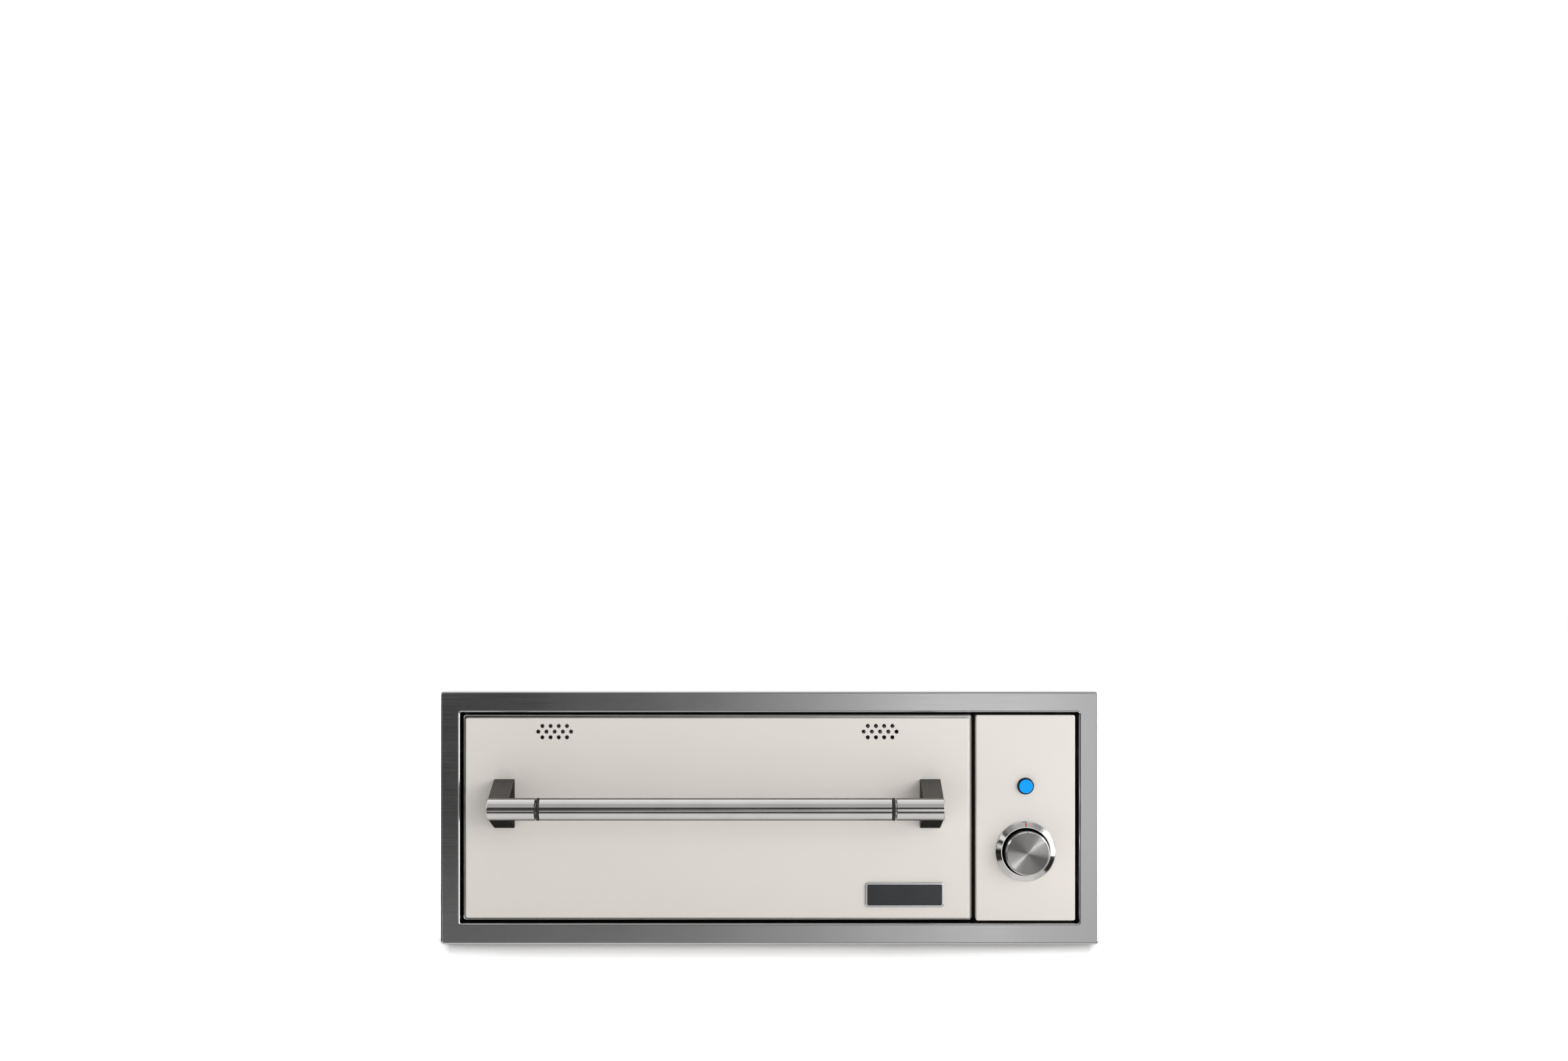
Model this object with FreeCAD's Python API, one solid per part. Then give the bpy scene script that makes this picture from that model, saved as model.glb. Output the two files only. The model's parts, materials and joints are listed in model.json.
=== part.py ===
import FreeCAD, Part

import math
import os

# Built-in warming drawer, in millimetres.
# X runs to the right, Y runs back into the cabinet and Z runs up.
# The origin is on the trim's rear plane, mid-width, level with the underside of the casing.

V = FreeCAD.Vector
BACK = V(0, 1, 0)

# Sheet thicknesses and clearances
SHEET = 1.2
THIN_SHEET = 1.0
SEAT_GAP = 0.1
RUN_GAP = 0.3
SOFT_GAP = 0.5
OVERCUT = 1.0

# Trim frame
TRIM_WIDTH = 762.0
TRIM_HEIGHT = 293.0
TRIM_STILE = 22.3
TRIM_RAIL = 24.2
TRIM_DEPTH = 25.0
TRIM_RETURN = 22.0
TRIM_LIP = 11.0
TRIM_CORNER = 3.0
TRIM_BEND = 2.2
OPENING_CORNER = 1.5

# Casing and the screw holes that fix it in the cut-out
CASING_DEPTH = 545.0
CASING_BEND = 2.2
CASING_FLANGE = 14.0
NESTED_CORNER = 2.6
MOUNT_HOLE_RADIUS = 2.6
MOUNT_HOLE_SPACING = 150.0
MOUNT_HOLE_SETBACK = 11.0
VENT_SLOT_WIDTH = 5.0
VENT_SLOT_PITCH = 12.0
VENT_SLOT_COUNT = 6
BACK_SLOT_HEIGHT = 60.0
BACK_SLOT_DROP = 24.6
TOP_SLOT_LENGTH = 70.0
TOP_SLOT_FROM_BACK = 175.0

# Face frame and cavity
FRAME_FLANGE = 12.0
FRAME_SETBACK = 1.0
WINDOW_CORNER = 4.0
CONTROL_WINDOW_MARGIN = 11.0
SERVICE_GAP = 40.0
LINER_CORNER = 4.0
INSULATION_BACK = 14.0
DIVIDER_FLANGE = 12.0
DIVIDER_OFFSET = 2.2

# Drawer front
GAP_LEFT = 6.4
GAP_MULLION = 7.8
GAP_DRAWER_Z = 6.35
FRONT_DEPTH = 8.0
FRONT_CORNER = 2.1
FRONT_BEND = 1.8
INNER_FRONT_MARGIN = 4.0
INNER_FRONT_DEPTH = 34.0
INNER_FRONT_CORNER = 3.5
INNER_FRONT_BEND = 2.4
INNER_FRONT_RING = 18.0
MOUTH_OVERLAP_SIDE = 21.3
MOUTH_OVERLAP_BOTTOM = 15.1
MOUTH_OVERLAP_TOP = 8.8
GASKET_WIDTH = 6.0
GASKET_INSET = 1.0
GASKET_ROUND = 2.2

# Control panel
PANEL_WIDTH = 115.2
PANEL_GAP_RIGHT = 4.4
PANEL_GAP_Z = 3.0
PANEL_CORNER = 2.3
PANEL_BEND = 2.0
PANEL_LIP = 10.0

# Vents in the drawer front
VENT_INSET = 103.2
VENT_DROP = 16.0
VENT_HOLE_RADIUS = 2.3
VENT_PITCH = 9.5
VENT_ROW_PITCH = 6.55
VENT_ROWS = (4, 5, 4)
VENT_BEVEL = 0.5
SHUTTER_HALF_WIDTH = 32.0
SHUTTER_BELOW = 18.0
SHUTTER_ABOVE = 11.0
SHUTTER_TRAVEL = VENT_PITCH / 2
TAB_WIDTH = 6.0
TAB_HEIGHT = 4.0
TAB_REACH = 7.0
TAB_DROP = 14.0
GUIDE_WIDTH = 4.0
GUIDE_GRIP = 2.0

# Handle
HANDLE_INSET = 33.05
HANDLE_DROP = 101.0
HANDLE_STANDOFF = 58.0
BAR_RADIUS = 12.7
POST_WIDTH = 24.0
POST_HEIGHT = 56.7
POST_RISE = 1.6
POST_ROUND = 1.2
SLEEVE_LENGTH = 54.0
NECK_LENGTH = 1.2
NECK_RADIUS = 8.0
SPIGOT_DEPTH = 18.0
RING_WIDTH = 3.6
RING_PROUD = 0.4
RING_RADIUS = BAR_RADIUS + RING_PROUD
RING_ROUND = 1.2
EDGE_BREAK = 0.6
HANDLE_SCREW_RADIUS = 2.5
HANDLE_SCREW_HEAD = 4.5
HANDLE_SCREW_HEAD_HEIGHT = 3.2
HANDLE_SCREW_LENGTH = 14.0
HANDLE_SCREW_SPACING = 30.0

# Badge plate, left blank
BADGE_WIDTH = 91.0
BADGE_HEIGHT = 28.6
BADGE_DEPTH = 2.2
BADGE_CORNER = 4.0
BADGE_RIM = 2.2
BADGE_RECESS = 1.2
BADGE_INLAY = 0.9
BADGE_FROM_RIGHT = 29.3
BADGE_FROM_BOTTOM = 12.5

# Knob, its bezel and the thermostat
KNOB_RISE = 80.3
KNOB_RADIUS = 25.5
KNOB_CLEARANCE = 2.3
BEZEL_SLOPE = 6.95
BEZEL_LIP_RADIUS = KNOB_RADIUS + KNOB_CLEARANCE
BEZEL_RADIUS = BEZEL_LIP_RADIUS + BEZEL_SLOPE
BEZEL_HEIGHT = 6.0
BEZEL_BASE = 1.5
BEZEL_EDGE = 0.9
KNOB_FACE = 26.0
KNOB_START = 2.2
KNOB_CHAMFER = 1.6
KNOB_WALL = 2.0
KNOB_CAP = 1.5
KNOB_CAP_EDGE = 0.4
KNOB_HUB_RADIUS = 7.0
KNOB_HUB_START = 8.0
SHAFT_RADIUS = 3.0
SHAFT_FIT = 0.05
SHAFT_FLAT = 2.0
SHAFT_INSIDE = 14.0
BUSHING_RADIUS = 4.8
BUSHING_HEIGHT = 6.0
BUSHING_NUT_RADIUS = 8.0
BUSHING_NUT_HEIGHT = 3.0
THERMOSTAT_SIZE = 44.0
THERMOSTAT_DEPTH = 38.0
THERMOSTAT_CORNER = 4.0

# Push switch
BUTTON_RISE = 156.2
BUTTON_RADIUS = 8.0
BUTTON_PROUD = 6.5
BUTTON_INSIDE = 8.0
BUTTON_ROUND = 1.0
BUTTON_FIT = 0.1
SWITCH_BARREL_WALL = 1.0
SWITCH_BARREL_RADIUS = BUTTON_RADIUS + SWITCH_BARREL_WALL
SWITCH_RING_OVERLAP = 0.75
SWITCH_RING_RADIUS = SWITCH_BARREL_RADIUS + SWITCH_RING_OVERLAP
SWITCH_RING_PROUD = 1.6
SWITCH_WELL = 12.0
SWITCH_DEPTH = 28.0
SWITCH_NUT_WALL = 4.0
SWITCH_NUT_RADIUS = SWITCH_BARREL_RADIUS + SWITCH_NUT_WALL
SWITCH_NUT_HEIGHT = 4.0
SWITCH_RING_EDGE = 0.5
BLADE_WIDTH = 6.0
BLADE_SHEET = 0.8
BLADE_LENGTH = 8.0
BLADE_OFFSET = 4.5

# Telescopic ball slides
SLIDE_OVERLAP = 29.0
SLIDE_WIDTH = 12.7
SLIDE_HEIGHT = 45.0
SLIDE_DROP = 45.0
SLIDE_MARGIN = 10.0
SLIDE_FRONT_GAP = 1.8
BALL_RADIUS = 1.4
BALL_CLEAR = 0.2
BALL_COUNT = 4
BALL_PITCH = 50.0
CAGE_SHEET = 0.7
OUTER_FLANGE = 9.2
OUTER_LIP = 1.3
MIDDLE_OFFSET = 3.2
MIDDLE_FLANGE = 7.4
INNER_FLANGE = 7.0
RACE_LIP = 0.7
RAIL_BEND = 0.4
RAIL_HOLE_RADIUS = 2.2
ACCESS_HOLE_RADIUS = 4.5
RAIL_HOLE_SETBACK = 40.0
RAIL_HOLE_COUNT = 4
OUTER_CAGE_SHARE = 0.25

# Drawer carriers and pan
CARRIER_DROP = 40.95
CARRIER_HEIGHT = 83.0
CARRIER_FLANGE = 10.0
CARRIER_END_GAP = 25.0
REAR_RAIL_HEIGHT = 43.8
PAN_OVER_ELEMENT = 16.0
PAN_CORNER = 20.0
PAN_FLOOR_ROUND = 12.0
PAN_FRONT_GAP = 15.0
PAN_SLACK = 0.5
PAN_RIM = CARRIER_FLANGE - PAN_SLACK

# Heating element, its supports and the thermostat's probe
ELEMENT_RADIUS = 4.0
ELEMENT_RISE = 16.05
ELEMENT_BEND = 26.0
ELEMENT_SIDE_GAP = 64.5
ELEMENT_HALF_INNER = 110.0
ELEMENT_TERMINAL_HALF = 20.5
ELEMENT_FRONT_GAP = 55.8
ELEMENT_INNER_GAP = 175.0
ELEMENT_BACK_GAP = 75.0
ELEMENT_OUTSIDE = 21.0
BUSHING_COLLAR_RADIUS = 7.0
BUSHING_COLLAR_HALF = 8.0
SUPPORT_WIDTH = 18.0
SUPPORT_LENGTH = 6.0
PROBE_RADIUS = 1.0
PROBE_BEND = 12.0
PROBE_Y = 110.0
PROBE_DROP = 26.2
BULB_RADIUS = 3.0
BULB_LENGTH = 90.0
BULB_FROM_WALL = 8.0
CLIP_WIDTH = 8.0
CLIP_WALL = 1.2

# Electrical parts at the back
TERMINAL_BLOCK = (60.0, 26.0, 20.0)
TERMINAL_BACK_GAP = 97.8
CLAMP_COUNT = 3
CLAMP_RADIUS = 3.5
CLAMP_DEPTH = 6.0
WIRE_RADIUS = 1.3
WIRE_BEND = 9.0
WIRE_BACK_GAP = 10.0
WIRE_SPREAD = 14.0
WIRE_TURN = 30.0
WIRE_STAGGER = 20.0
RUN_SHARE = 0.45
GLAND_Z = 45.0
GLAND_BORE = 4.5
GLAND_THREAD = 9.8
GLAND_HEX = 14.0
GLAND_HEX_HEIGHT = 6.0
GLAND_DOME = 9.0
GLAND_STEP = 1.0
GLAND_NOSE_WALL = 3.0
GLAND_INSIDE = 9.0

# Places worked out from the sizes above
NEST = 2 * SHEET + SEAT_GAP
FACE_Y = -TRIM_DEPTH
TRIM_X = (-TRIM_WIDTH / 2, TRIM_WIDTH / 2)
OPEN_X = (TRIM_X[0] + TRIM_STILE, TRIM_X[1] - TRIM_STILE)
OPEN_Z = (NEST, NEST + TRIM_HEIGHT - 2 * TRIM_RAIL)
TRIM_Z = (OPEN_Z[0] - TRIM_RAIL, OPEN_Z[1] + TRIM_RAIL)
CASING_X = (OPEN_X[0] - NEST, OPEN_X[1] + NEST)
CASING_Z = (0.0, OPEN_Z[1] + NEST)
CASING_IN_X = (CASING_X[0] + SHEET, CASING_X[1] - SHEET)
CASING_IN_Z = (SHEET, CASING_Z[1] - SHEET)
CASING_BACK_IN = CASING_DEPTH - SHEET
FRAME_Y = (TRIM_RETURN + FRAME_SETBACK, TRIM_RETURN + FRAME_SETBACK + SHEET)
PANEL_X = (OPEN_X[1] - PANEL_GAP_RIGHT - PANEL_WIDTH, OPEN_X[1] - PANEL_GAP_RIGHT)
PANEL_Z = (OPEN_Z[0] + PANEL_GAP_Z, OPEN_Z[1] - PANEL_GAP_Z)
CONTROL_X = sum(PANEL_X) / 2
KNOB_Z = PANEL_Z[0] + KNOB_RISE
BUTTON_Z = PANEL_Z[0] + BUTTON_RISE
FRONT_X = (OPEN_X[0] + GAP_LEFT, PANEL_X[0] - GAP_MULLION)
FRONT_Z = (OPEN_Z[0] + GAP_DRAWER_Z, OPEN_Z[1] - GAP_DRAWER_Z)
FRONT_Y = (FACE_Y, FACE_Y + FRONT_DEPTH)
DRAWER_X = sum(FRONT_X) / 2
INNER_X = (FRONT_X[0] - INNER_FRONT_MARGIN, FRONT_X[1] + INNER_FRONT_MARGIN)
INNER_Z = (FRONT_Z[0] - INNER_FRONT_MARGIN, FRONT_Z[1] + INNER_FRONT_MARGIN)
INNER_Y = (FRONT_Y[1], FRONT_Y[1] + INNER_FRONT_DEPTH)
CAVITY_X = (INNER_X[0] + MOUTH_OVERLAP_SIDE, INNER_X[1] - MOUTH_OVERLAP_SIDE)
CAVITY_Z = (INNER_Z[0] + MOUTH_OVERLAP_BOTTOM, INNER_Z[1] - MOUTH_OVERLAP_TOP)
CAVITY_Y = (FRAME_Y[1], CASING_DEPTH - SERVICE_GAP)
DIVIDER_X = (PANEL_X[0] - DIVIDER_OFFSET - SHEET, PANEL_X[0] - DIVIDER_OFFSET)
INSULATION_Y = (FRAME_Y[1] + FRAME_FLANGE + SOFT_GAP, CAVITY_Y[1] + THIN_SHEET + INSULATION_BACK)
SLIDE_Y = (FRAME_Y[1] + SLIDE_FRONT_GAP, CAVITY_Y[1] - SLIDE_MARGIN)
DRAWER_TRAVEL = SLIDE_Y[1] - SLIDE_Y[0] - SLIDE_OVERLAP
CARRIER_Y = (INNER_Y[1], CAVITY_Y[1] - CARRIER_END_GAP)
CARRIER_TOP = CAVITY_Z[1] - CARRIER_DROP
CARRIER_BOTTOM = CARRIER_TOP - CARRIER_HEIGHT
SLIDE_Z = CARRIER_TOP - SLIDE_DROP
ELEMENT_Z = CAVITY_Z[0] + ELEMENT_RISE
ELEMENT_HALF_WIDTH = (CAVITY_X[1] - CAVITY_X[0]) / 2 - ELEMENT_SIDE_GAP
ELEMENT_FRONT = CAVITY_Y[0] + ELEMENT_FRONT_GAP
ELEMENT_INNER_BACK = CAVITY_Y[1] - ELEMENT_INNER_GAP
PROBE_Z = CARRIER_BOTTOM - PROBE_DROP
PAN_BOTTOM = ELEMENT_Z + ELEMENT_RADIUS + PAN_OVER_ELEMENT
HANDLE_LENGTH = FRONT_X[1] - FRONT_X[0] - 2 * HANDLE_INSET
HANDLE_Z = FRONT_Z[1] - HANDLE_DROP
BAR_Y = FACE_Y - HANDLE_STANDOFF
VENT_Z = FRONT_Z[1] - VENT_DROP
SHUTTER_Y = (INNER_Y[1] - THIN_SHEET - RUN_GAP - SHEET, INNER_Y[1] - THIN_SHEET - RUN_GAP)
WIRE_Y = CASING_BACK_IN - WIRE_BACK_GAP


def inset(span, amount):
    """A span with both ends moved in by an amount."""
    return (span[0] + amount, span[1] - amount)


def block(x, y, z):
    """A box between two limits on each axis."""
    return Part.makeBox(x[1] - x[0], y[1] - y[0], z[1] - z[0], V(x[0], y[0], z[0]))


def rod(radius, start, end):
    """A round bar between two points."""
    run = end - start
    return Part.makeCylinder(radius, run.Length, start, run)


def drill(radius, x, z, y):
    """A round bar along Y between two depths, to cut a hole or to fill one."""
    return rod(radius, V(x, y[0], z), V(x, y[1], z))


def edges_along(shape, axis):
    """The straight edges that run along one axis, named by its letter."""
    others = [letter for letter in "XYZ" if letter != axis]
    found = []
    for edge in shape.Edges:
        ends = edge.Vertexes
        if len(ends) == 2 and all(abs(getattr(ends[0], o) - getattr(ends[1], o)) < 1e-6 for o in others):
            found.append(edge)
    return found


def edges_at(shape, axis, value):
    """The edges that lie in the plane where one coordinate has this value."""
    return [e for e in shape.Edges if all(abs(getattr(v, axis) - value) < 1e-6 for v in e.Vertexes)]


def rounded_block(x, y, z, corner, front=0.0, axis="Y"):
    """A box with its four edges along one axis rounded, and its front rim too if asked."""
    shape = block(x, y, z)
    shape = shape.makeFillet(corner, edges_along(shape, axis))
    if front:
        shape = shape.makeFillet(front, edges_at(shape, "Y", y[0]))
    return shape


def folded_pan(x, y, z, sheet, corner, bend):
    """A sheet tray that is open at the back, with a rounded front rim."""
    outer = rounded_block(x, y, z, corner, bend)
    inner = rounded_block(
        inset(x, sheet), (y[0] + sheet, y[1] + OVERCUT), inset(z, sheet), corner - sheet, bend - sheet
    )
    return outer.cut(inner)


def prism(points, run):
    """A closed outline of points pushed along a vector."""
    return Part.Face(Part.makePolygon(points + points[:1])).extrude(run)


def turned(profile, x, z):
    """A (radius, height) profile turned about an axis square to the front, with height 0 on its face."""
    points = [V(x + radius, FACE_Y - height, z) for radius, height in profile]
    face = Part.Face(Part.makePolygon(points + points[:1]))
    return face.revolve(V(x, FACE_Y, z), BACK, 360)


def hexagon(radius, start, end):
    """A hexagonal bar along Y between two points, with its flats at this radius."""
    corner = radius / math.cos(math.pi / 6)
    angles = [math.radians(60 * i) for i in range(6)]
    points = [start + V(corner * math.cos(a), 0, corner * math.sin(a)) for a in angles]
    return prism(points, end - start)


def slot(x, y, z, axis):
    """A round-ended slot cutter: a box with its four edges along an axis fully rounded."""
    spans = {"X": x, "Y": y, "Z": z}
    sides = [span[1] - span[0] for letter, span in spans.items() if letter != axis]
    shape = block(x, y, z)
    return shape.makeFillet(min(sides) / 2 - 0.01, edges_along(shape, axis))


def bent_path(points, bend):
    """Straight runs through points, joined by tangent arcs of one radius."""
    edges = []
    last = points[0]
    for before, corner, after in zip(points, points[1:], points[2:]):
        to_before = (before - corner).normalize()
        to_after = (after - corner).normalize()
        half = to_before.getAngle(to_after) / 2
        middle = (to_before + to_after).normalize()
        start = corner + to_before * (bend / math.tan(half))
        end = corner + to_after * (bend / math.tan(half))
        crown = corner + middle * (bend / math.sin(half) - bend)
        edges.append(Part.LineSegment(last, start).toShape())
        edges.append(Part.Arc(start, crown, end).toShape())
        last = end
    edges.append(Part.LineSegment(last, points[-1]).toShape())
    return Part.Wire(edges)


def bent_tube(points, radius, bend):
    """A round bar swept along a bent path."""
    profile = Part.Wire(Part.makeCircle(radius, points[0], points[1] - points[0]))
    return bent_path(points, bend).makePipeShell([profile], True, False)


def trim_frame():
    """Folded trim: outer return, face, inner return into the casing, and a lip on the mounting plane."""
    bar = rounded_block(TRIM_X, (FACE_Y, 0), TRIM_Z, TRIM_CORNER, TRIM_BEND)
    opening_y = (FACE_Y - OVERCUT, TRIM_RETURN + OVERCUT)
    opening = rounded_block(OPEN_X, opening_y, OPEN_Z, OPENING_CORNER)
    bar = bar.cut(opening)
    inner_rim = [
        e
        for e in edges_at(bar, "Y", FACE_Y)
        if e.BoundBox.XMin > OPEN_X[0] - OVERCUT and e.BoundBox.XMax < OPEN_X[1] + OVERCUT
        and e.BoundBox.ZMin > OPEN_Z[0] - OVERCUT and e.BoundBox.ZMax < OPEN_Z[1] + OVERCUT
    ]
    bar = bar.makeFillet(TRIM_BEND, inner_rim)
    return_x = inset(OPEN_X, -SHEET)
    return_z = inset(OPEN_Z, -SHEET)
    core = rounded_block(return_x, opening_y, return_z, OPENING_CORNER + SHEET)
    hollow = block(inset(TRIM_X, SHEET), (FACE_Y + SHEET, -SHEET), inset(TRIM_Z, SHEET)).cut(core)
    mouth = block(inset(TRIM_X, TRIM_LIP), (-SHEET - OVERCUT, OVERCUT), inset(TRIM_Z, TRIM_LIP)).cut(core)
    sleeve = rounded_block(return_x, (-SHEET, TRIM_RETURN), return_z, OPENING_CORNER + SHEET).cut(opening)
    return bar.cut([hollow, mouth]).fuse(sleeve).cut(mount_hole_cutters()).removeSplitter()


def mount_hole_cutters():
    """Cross bars for the fixing holes through both sides of the casing and the trim's return."""
    middle = sum(CASING_Z) / 2
    y = MOUNT_HOLE_SETBACK
    return [
        rod(MOUNT_HOLE_RADIUS, V(side - 2 * NEST, y, z), V(side + 2 * NEST, y, z))
        for side in CASING_X
        for z in (middle - MOUNT_HOLE_SPACING / 2, middle + MOUNT_HOLE_SPACING / 2)
    ]


def casing_wrap():
    """Bottom and both sides in one folded sheet, with flanges that carry the top cover."""
    y = (0, CASING_BACK_IN)
    z = (CASING_Z[0], CASING_IN_Z[1])
    shell = block(CASING_X, y, z)
    bottom = [e for e in edges_along(shell, "Y") if abs(e.Vertexes[0].Z - z[0]) < 1e-6]
    shell = shell.makeFillet(CASING_BEND, bottom)
    inner = block(CASING_IN_X, (y[0] - OVERCUT, y[1] + OVERCUT), (CASING_IN_Z[0], z[1] + OVERCUT))
    floor_edges = [e for e in edges_along(inner, "Y") if abs(e.Vertexes[0].Z - CASING_IN_Z[0]) < 1e-6]
    shell = shell.cut(inner.makeFillet(CASING_BEND - SHEET, floor_edges))
    flange_y = (INSULATION_Y[0] + OVERCUT, CASING_BACK_IN - CASING_FLANGE - OVERCUT)
    flange_z = (z[1] - SHEET, z[1])
    left = block((CASING_IN_X[0] - SHEET / 2, CASING_IN_X[0] + CASING_FLANGE), flange_y, flange_z)
    right = block((CASING_IN_X[1] - CASING_FLANGE, CASING_IN_X[1] + SHEET / 2), flange_y, flange_z)
    return shell.fuse([left, right]).cut(mount_hole_cutters()).removeSplitter()


def slot_centres(first, pitch, count):
    """Evenly spaced centres about a middle value."""
    return [first + pitch * (i - (count - 1) / 2) for i in range(count)]


def casing_top():
    """Top cover, with vent slots over the control compartment."""
    z = (CASING_IN_Z[1], CASING_Z[1])
    cover = block(CASING_X, (0, CASING_BACK_IN), z)
    half = VENT_SLOT_WIDTH / 2
    slot_end = CASING_DEPTH - TOP_SLOT_FROM_BACK
    cutters = [
        slot((x - half, x + half), (slot_end - TOP_SLOT_LENGTH, slot_end), inset(z, -OVERCUT), "Z")
        for x in slot_centres(CONTROL_X, VENT_SLOT_PITCH, VENT_SLOT_COUNT)
    ]
    return cover.cut(cutters)


def casing_back():
    """Back panel with a flange that slips inside the casing, vent slots and the cable gland's hole."""
    plate = rounded_block(CASING_X, (CASING_BACK_IN, CASING_DEPTH), CASING_Z, CASING_BEND)
    x = inset(CASING_IN_X, SEAT_GAP)
    z = inset(CASING_IN_Z, SEAT_GAP)
    y = (CASING_BACK_IN - CASING_FLANGE, CASING_BACK_IN)
    core = rounded_block(inset(x, SHEET), (y[0] - OVERCUT, y[1]), inset(z, SHEET), NESTED_CORNER - SHEET)
    flange = rounded_block(x, y, z, NESTED_CORNER).cut(core)
    half = VENT_SLOT_WIDTH / 2
    through = (CASING_BACK_IN - OVERCUT, CASING_DEPTH + OVERCUT)
    slot_top = CASING_Z[1] - BACK_SLOT_DROP
    cutters = [
        slot((c - half, c + half), through, (slot_top - BACK_SLOT_HEIGHT, slot_top), "Y")
        for c in slot_centres(CONTROL_X, VENT_SLOT_PITCH, VENT_SLOT_COUNT)
    ]
    cutters.append(drill(GLAND_THREAD + SEAT_GAP, CONTROL_X, GLAND_Z, through))
    return plate.fuse(flange).cut(cutters).removeSplitter()


def face_frame():
    """Flanged plate across the opening, with a window for the drawer and one for the controls."""
    x = inset(CASING_IN_X, SEAT_GAP)
    z = inset(CASING_IN_Z, SEAT_GAP)
    back = FRAME_Y[1] + FRAME_FLANGE
    body = rounded_block(x, (FRAME_Y[0], back), z, NESTED_CORNER)
    hollow = rounded_block(
        inset(x, SHEET), (FRAME_Y[1], back + OVERCUT), inset(z, SHEET), NESTED_CORNER - SHEET
    )
    through = inset(FRAME_Y, -OVERCUT)
    drawer_window = rounded_block(CAVITY_X, through, CAVITY_Z, WINDOW_CORNER)
    control_window = rounded_block(
        inset(PANEL_X, CONTROL_WINDOW_MARGIN), through, inset(PANEL_Z, CONTROL_WINDOW_MARGIN), WINDOW_CORNER
    )
    return body.cut([hollow, drawer_window, control_window])


def cavity_liner():
    """Heated cavity: a box open at the front, with holes for the element and the thermostat's probe."""
    y = (CAVITY_Y[0], CAVITY_Y[1] + THIN_SHEET)
    outer = rounded_block(
        inset(CAVITY_X, -THIN_SHEET), y, inset(CAVITY_Z, -THIN_SHEET), LINER_CORNER + THIN_SHEET
    )
    inner = rounded_block(CAVITY_X, (y[0] - OVERCUT, CAVITY_Y[1]), CAVITY_Z, LINER_CORNER)
    back = (CAVITY_Y[1] - OVERCUT, CAVITY_Y[1] + 2 * THIN_SHEET)
    cutters = [drill(BUSHING_COLLAR_RADIUS + RUN_GAP, x, ELEMENT_Z, back) for x in terminal_places()]
    return outer.cut([inner, probe_hole()] + cutters)


def terminal_places():
    """Where the element's two ends leave the cavity."""
    return (DRAWER_X - ELEMENT_TERMINAL_HALF, DRAWER_X + ELEMENT_TERMINAL_HALF)


def probe_corners():
    """The capillary's two turns: behind the thermostat and beside the bulb."""
    return V(CONTROL_X, PROBE_Y, KNOB_Z), V(CAVITY_X[1] - BULB_FROM_WALL, PROBE_Y, PROBE_Z)


def probe_hole():
    """Clearance for the thermostat's capillary from the control compartment into the cavity."""
    start, end = probe_corners()
    run = end - start
    ends = [
        start + run * ((x - start.x) / run.x) for x in (DIVIDER_X[1] + OVERCUT, CAVITY_X[1] - OVERCUT)
    ]
    return rod(PROBE_RADIUS + RUN_GAP, *ends)


def insulation_blanket():
    """Mineral wool round the cavity on every side but the front."""
    x = (CASING_IN_X[0] + SOFT_GAP, DIVIDER_X[0] - SOFT_GAP)
    z = (CASING_IN_Z[0] + SOFT_GAP, CASING_IN_Z[1] - SHEET - SOFT_GAP)
    blanket = block(x, INSULATION_Y, z)
    wall = THIN_SHEET + SOFT_GAP
    hollow = rounded_block(
        inset(CAVITY_X, -wall), (CAVITY_Y[0], CAVITY_Y[1] + wall), inset(CAVITY_Z, -wall), LINER_CORNER
    )
    through = (CAVITY_Y[1], INSULATION_Y[1] + OVERCUT)
    cutters = [drill(BUSHING_COLLAR_RADIUS + SOFT_GAP, c, ELEMENT_Z, through) for c in terminal_places()]
    return blanket.cut([hollow, probe_hole()] + cutters)


def divider_wall():
    """Wall between the insulated cavity and the control compartment, flanged at top and bottom."""
    y = (FRAME_Y[1] + FRAME_FLANGE + SEAT_GAP, INSULATION_Y[1])
    z = inset(CASING_IN_Z, SEAT_GAP)
    wall = block(DIVIDER_X, y, z)
    flange_x = (DIVIDER_X[0], DIVIDER_X[1] + DIVIDER_FLANGE)
    flanges = [block(flange_x, y, (z[0], z[0] + SHEET)), block(flange_x, y, (z[1] - SHEET, z[1]))]
    return wall.fuse(flanges).cut(probe_hole()).removeSplitter()


def mouth_gasket():
    """Silicone seal round the cavity's mouth, with a rounded nose that meets the drawer."""
    y = (INNER_Y[1] + RUN_GAP, FRAME_Y[0])
    inner_x = inset(CAVITY_X, -GASKET_INSET)
    inner_z = inset(CAVITY_Z, -GASKET_INSET)
    outer_x = inset(inner_x, -GASKET_WIDTH)
    outer_z = inset(inner_z, -GASKET_WIDTH)
    outer = rounded_block(outer_x, y, outer_z, WINDOW_CORNER + GASKET_WIDTH)
    ring = outer.cut(rounded_block(inner_x, inset(y, -OVERCUT), inner_z, WINDOW_CORNER))
    return ring.makeFillet(GASKET_ROUND, edges_at(ring, "Y", y[0]))


def control_panel():
    """Painted control panel: a deep folded tray whose rear lips seat on the face frame."""
    y = (FACE_Y, FRAME_Y[0])
    tray = folded_pan(PANEL_X, y, PANEL_Z, SHEET, PANEL_CORNER, PANEL_BEND)
    lip_y = (y[1] - SHEET, y[1])
    lip_z = inset(PANEL_Z, PANEL_CORNER)
    left = block((PANEL_X[0] + SHEET / 2, PANEL_X[0] + PANEL_LIP), lip_y, lip_z)
    right = block((PANEL_X[1] - PANEL_LIP, PANEL_X[1] - SHEET / 2), lip_y, lip_z)
    through = (FACE_Y - OVERCUT, FACE_Y + SHEET + OVERCUT)
    cutters = [
        drill(BUSHING_RADIUS + SEAT_GAP, CONTROL_X, KNOB_Z, through),
        drill(SWITCH_BARREL_RADIUS + SEAT_GAP, CONTROL_X, BUTTON_Z, through),
    ]
    return tray.fuse([left, right]).cut(cutters).removeSplitter()


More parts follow.
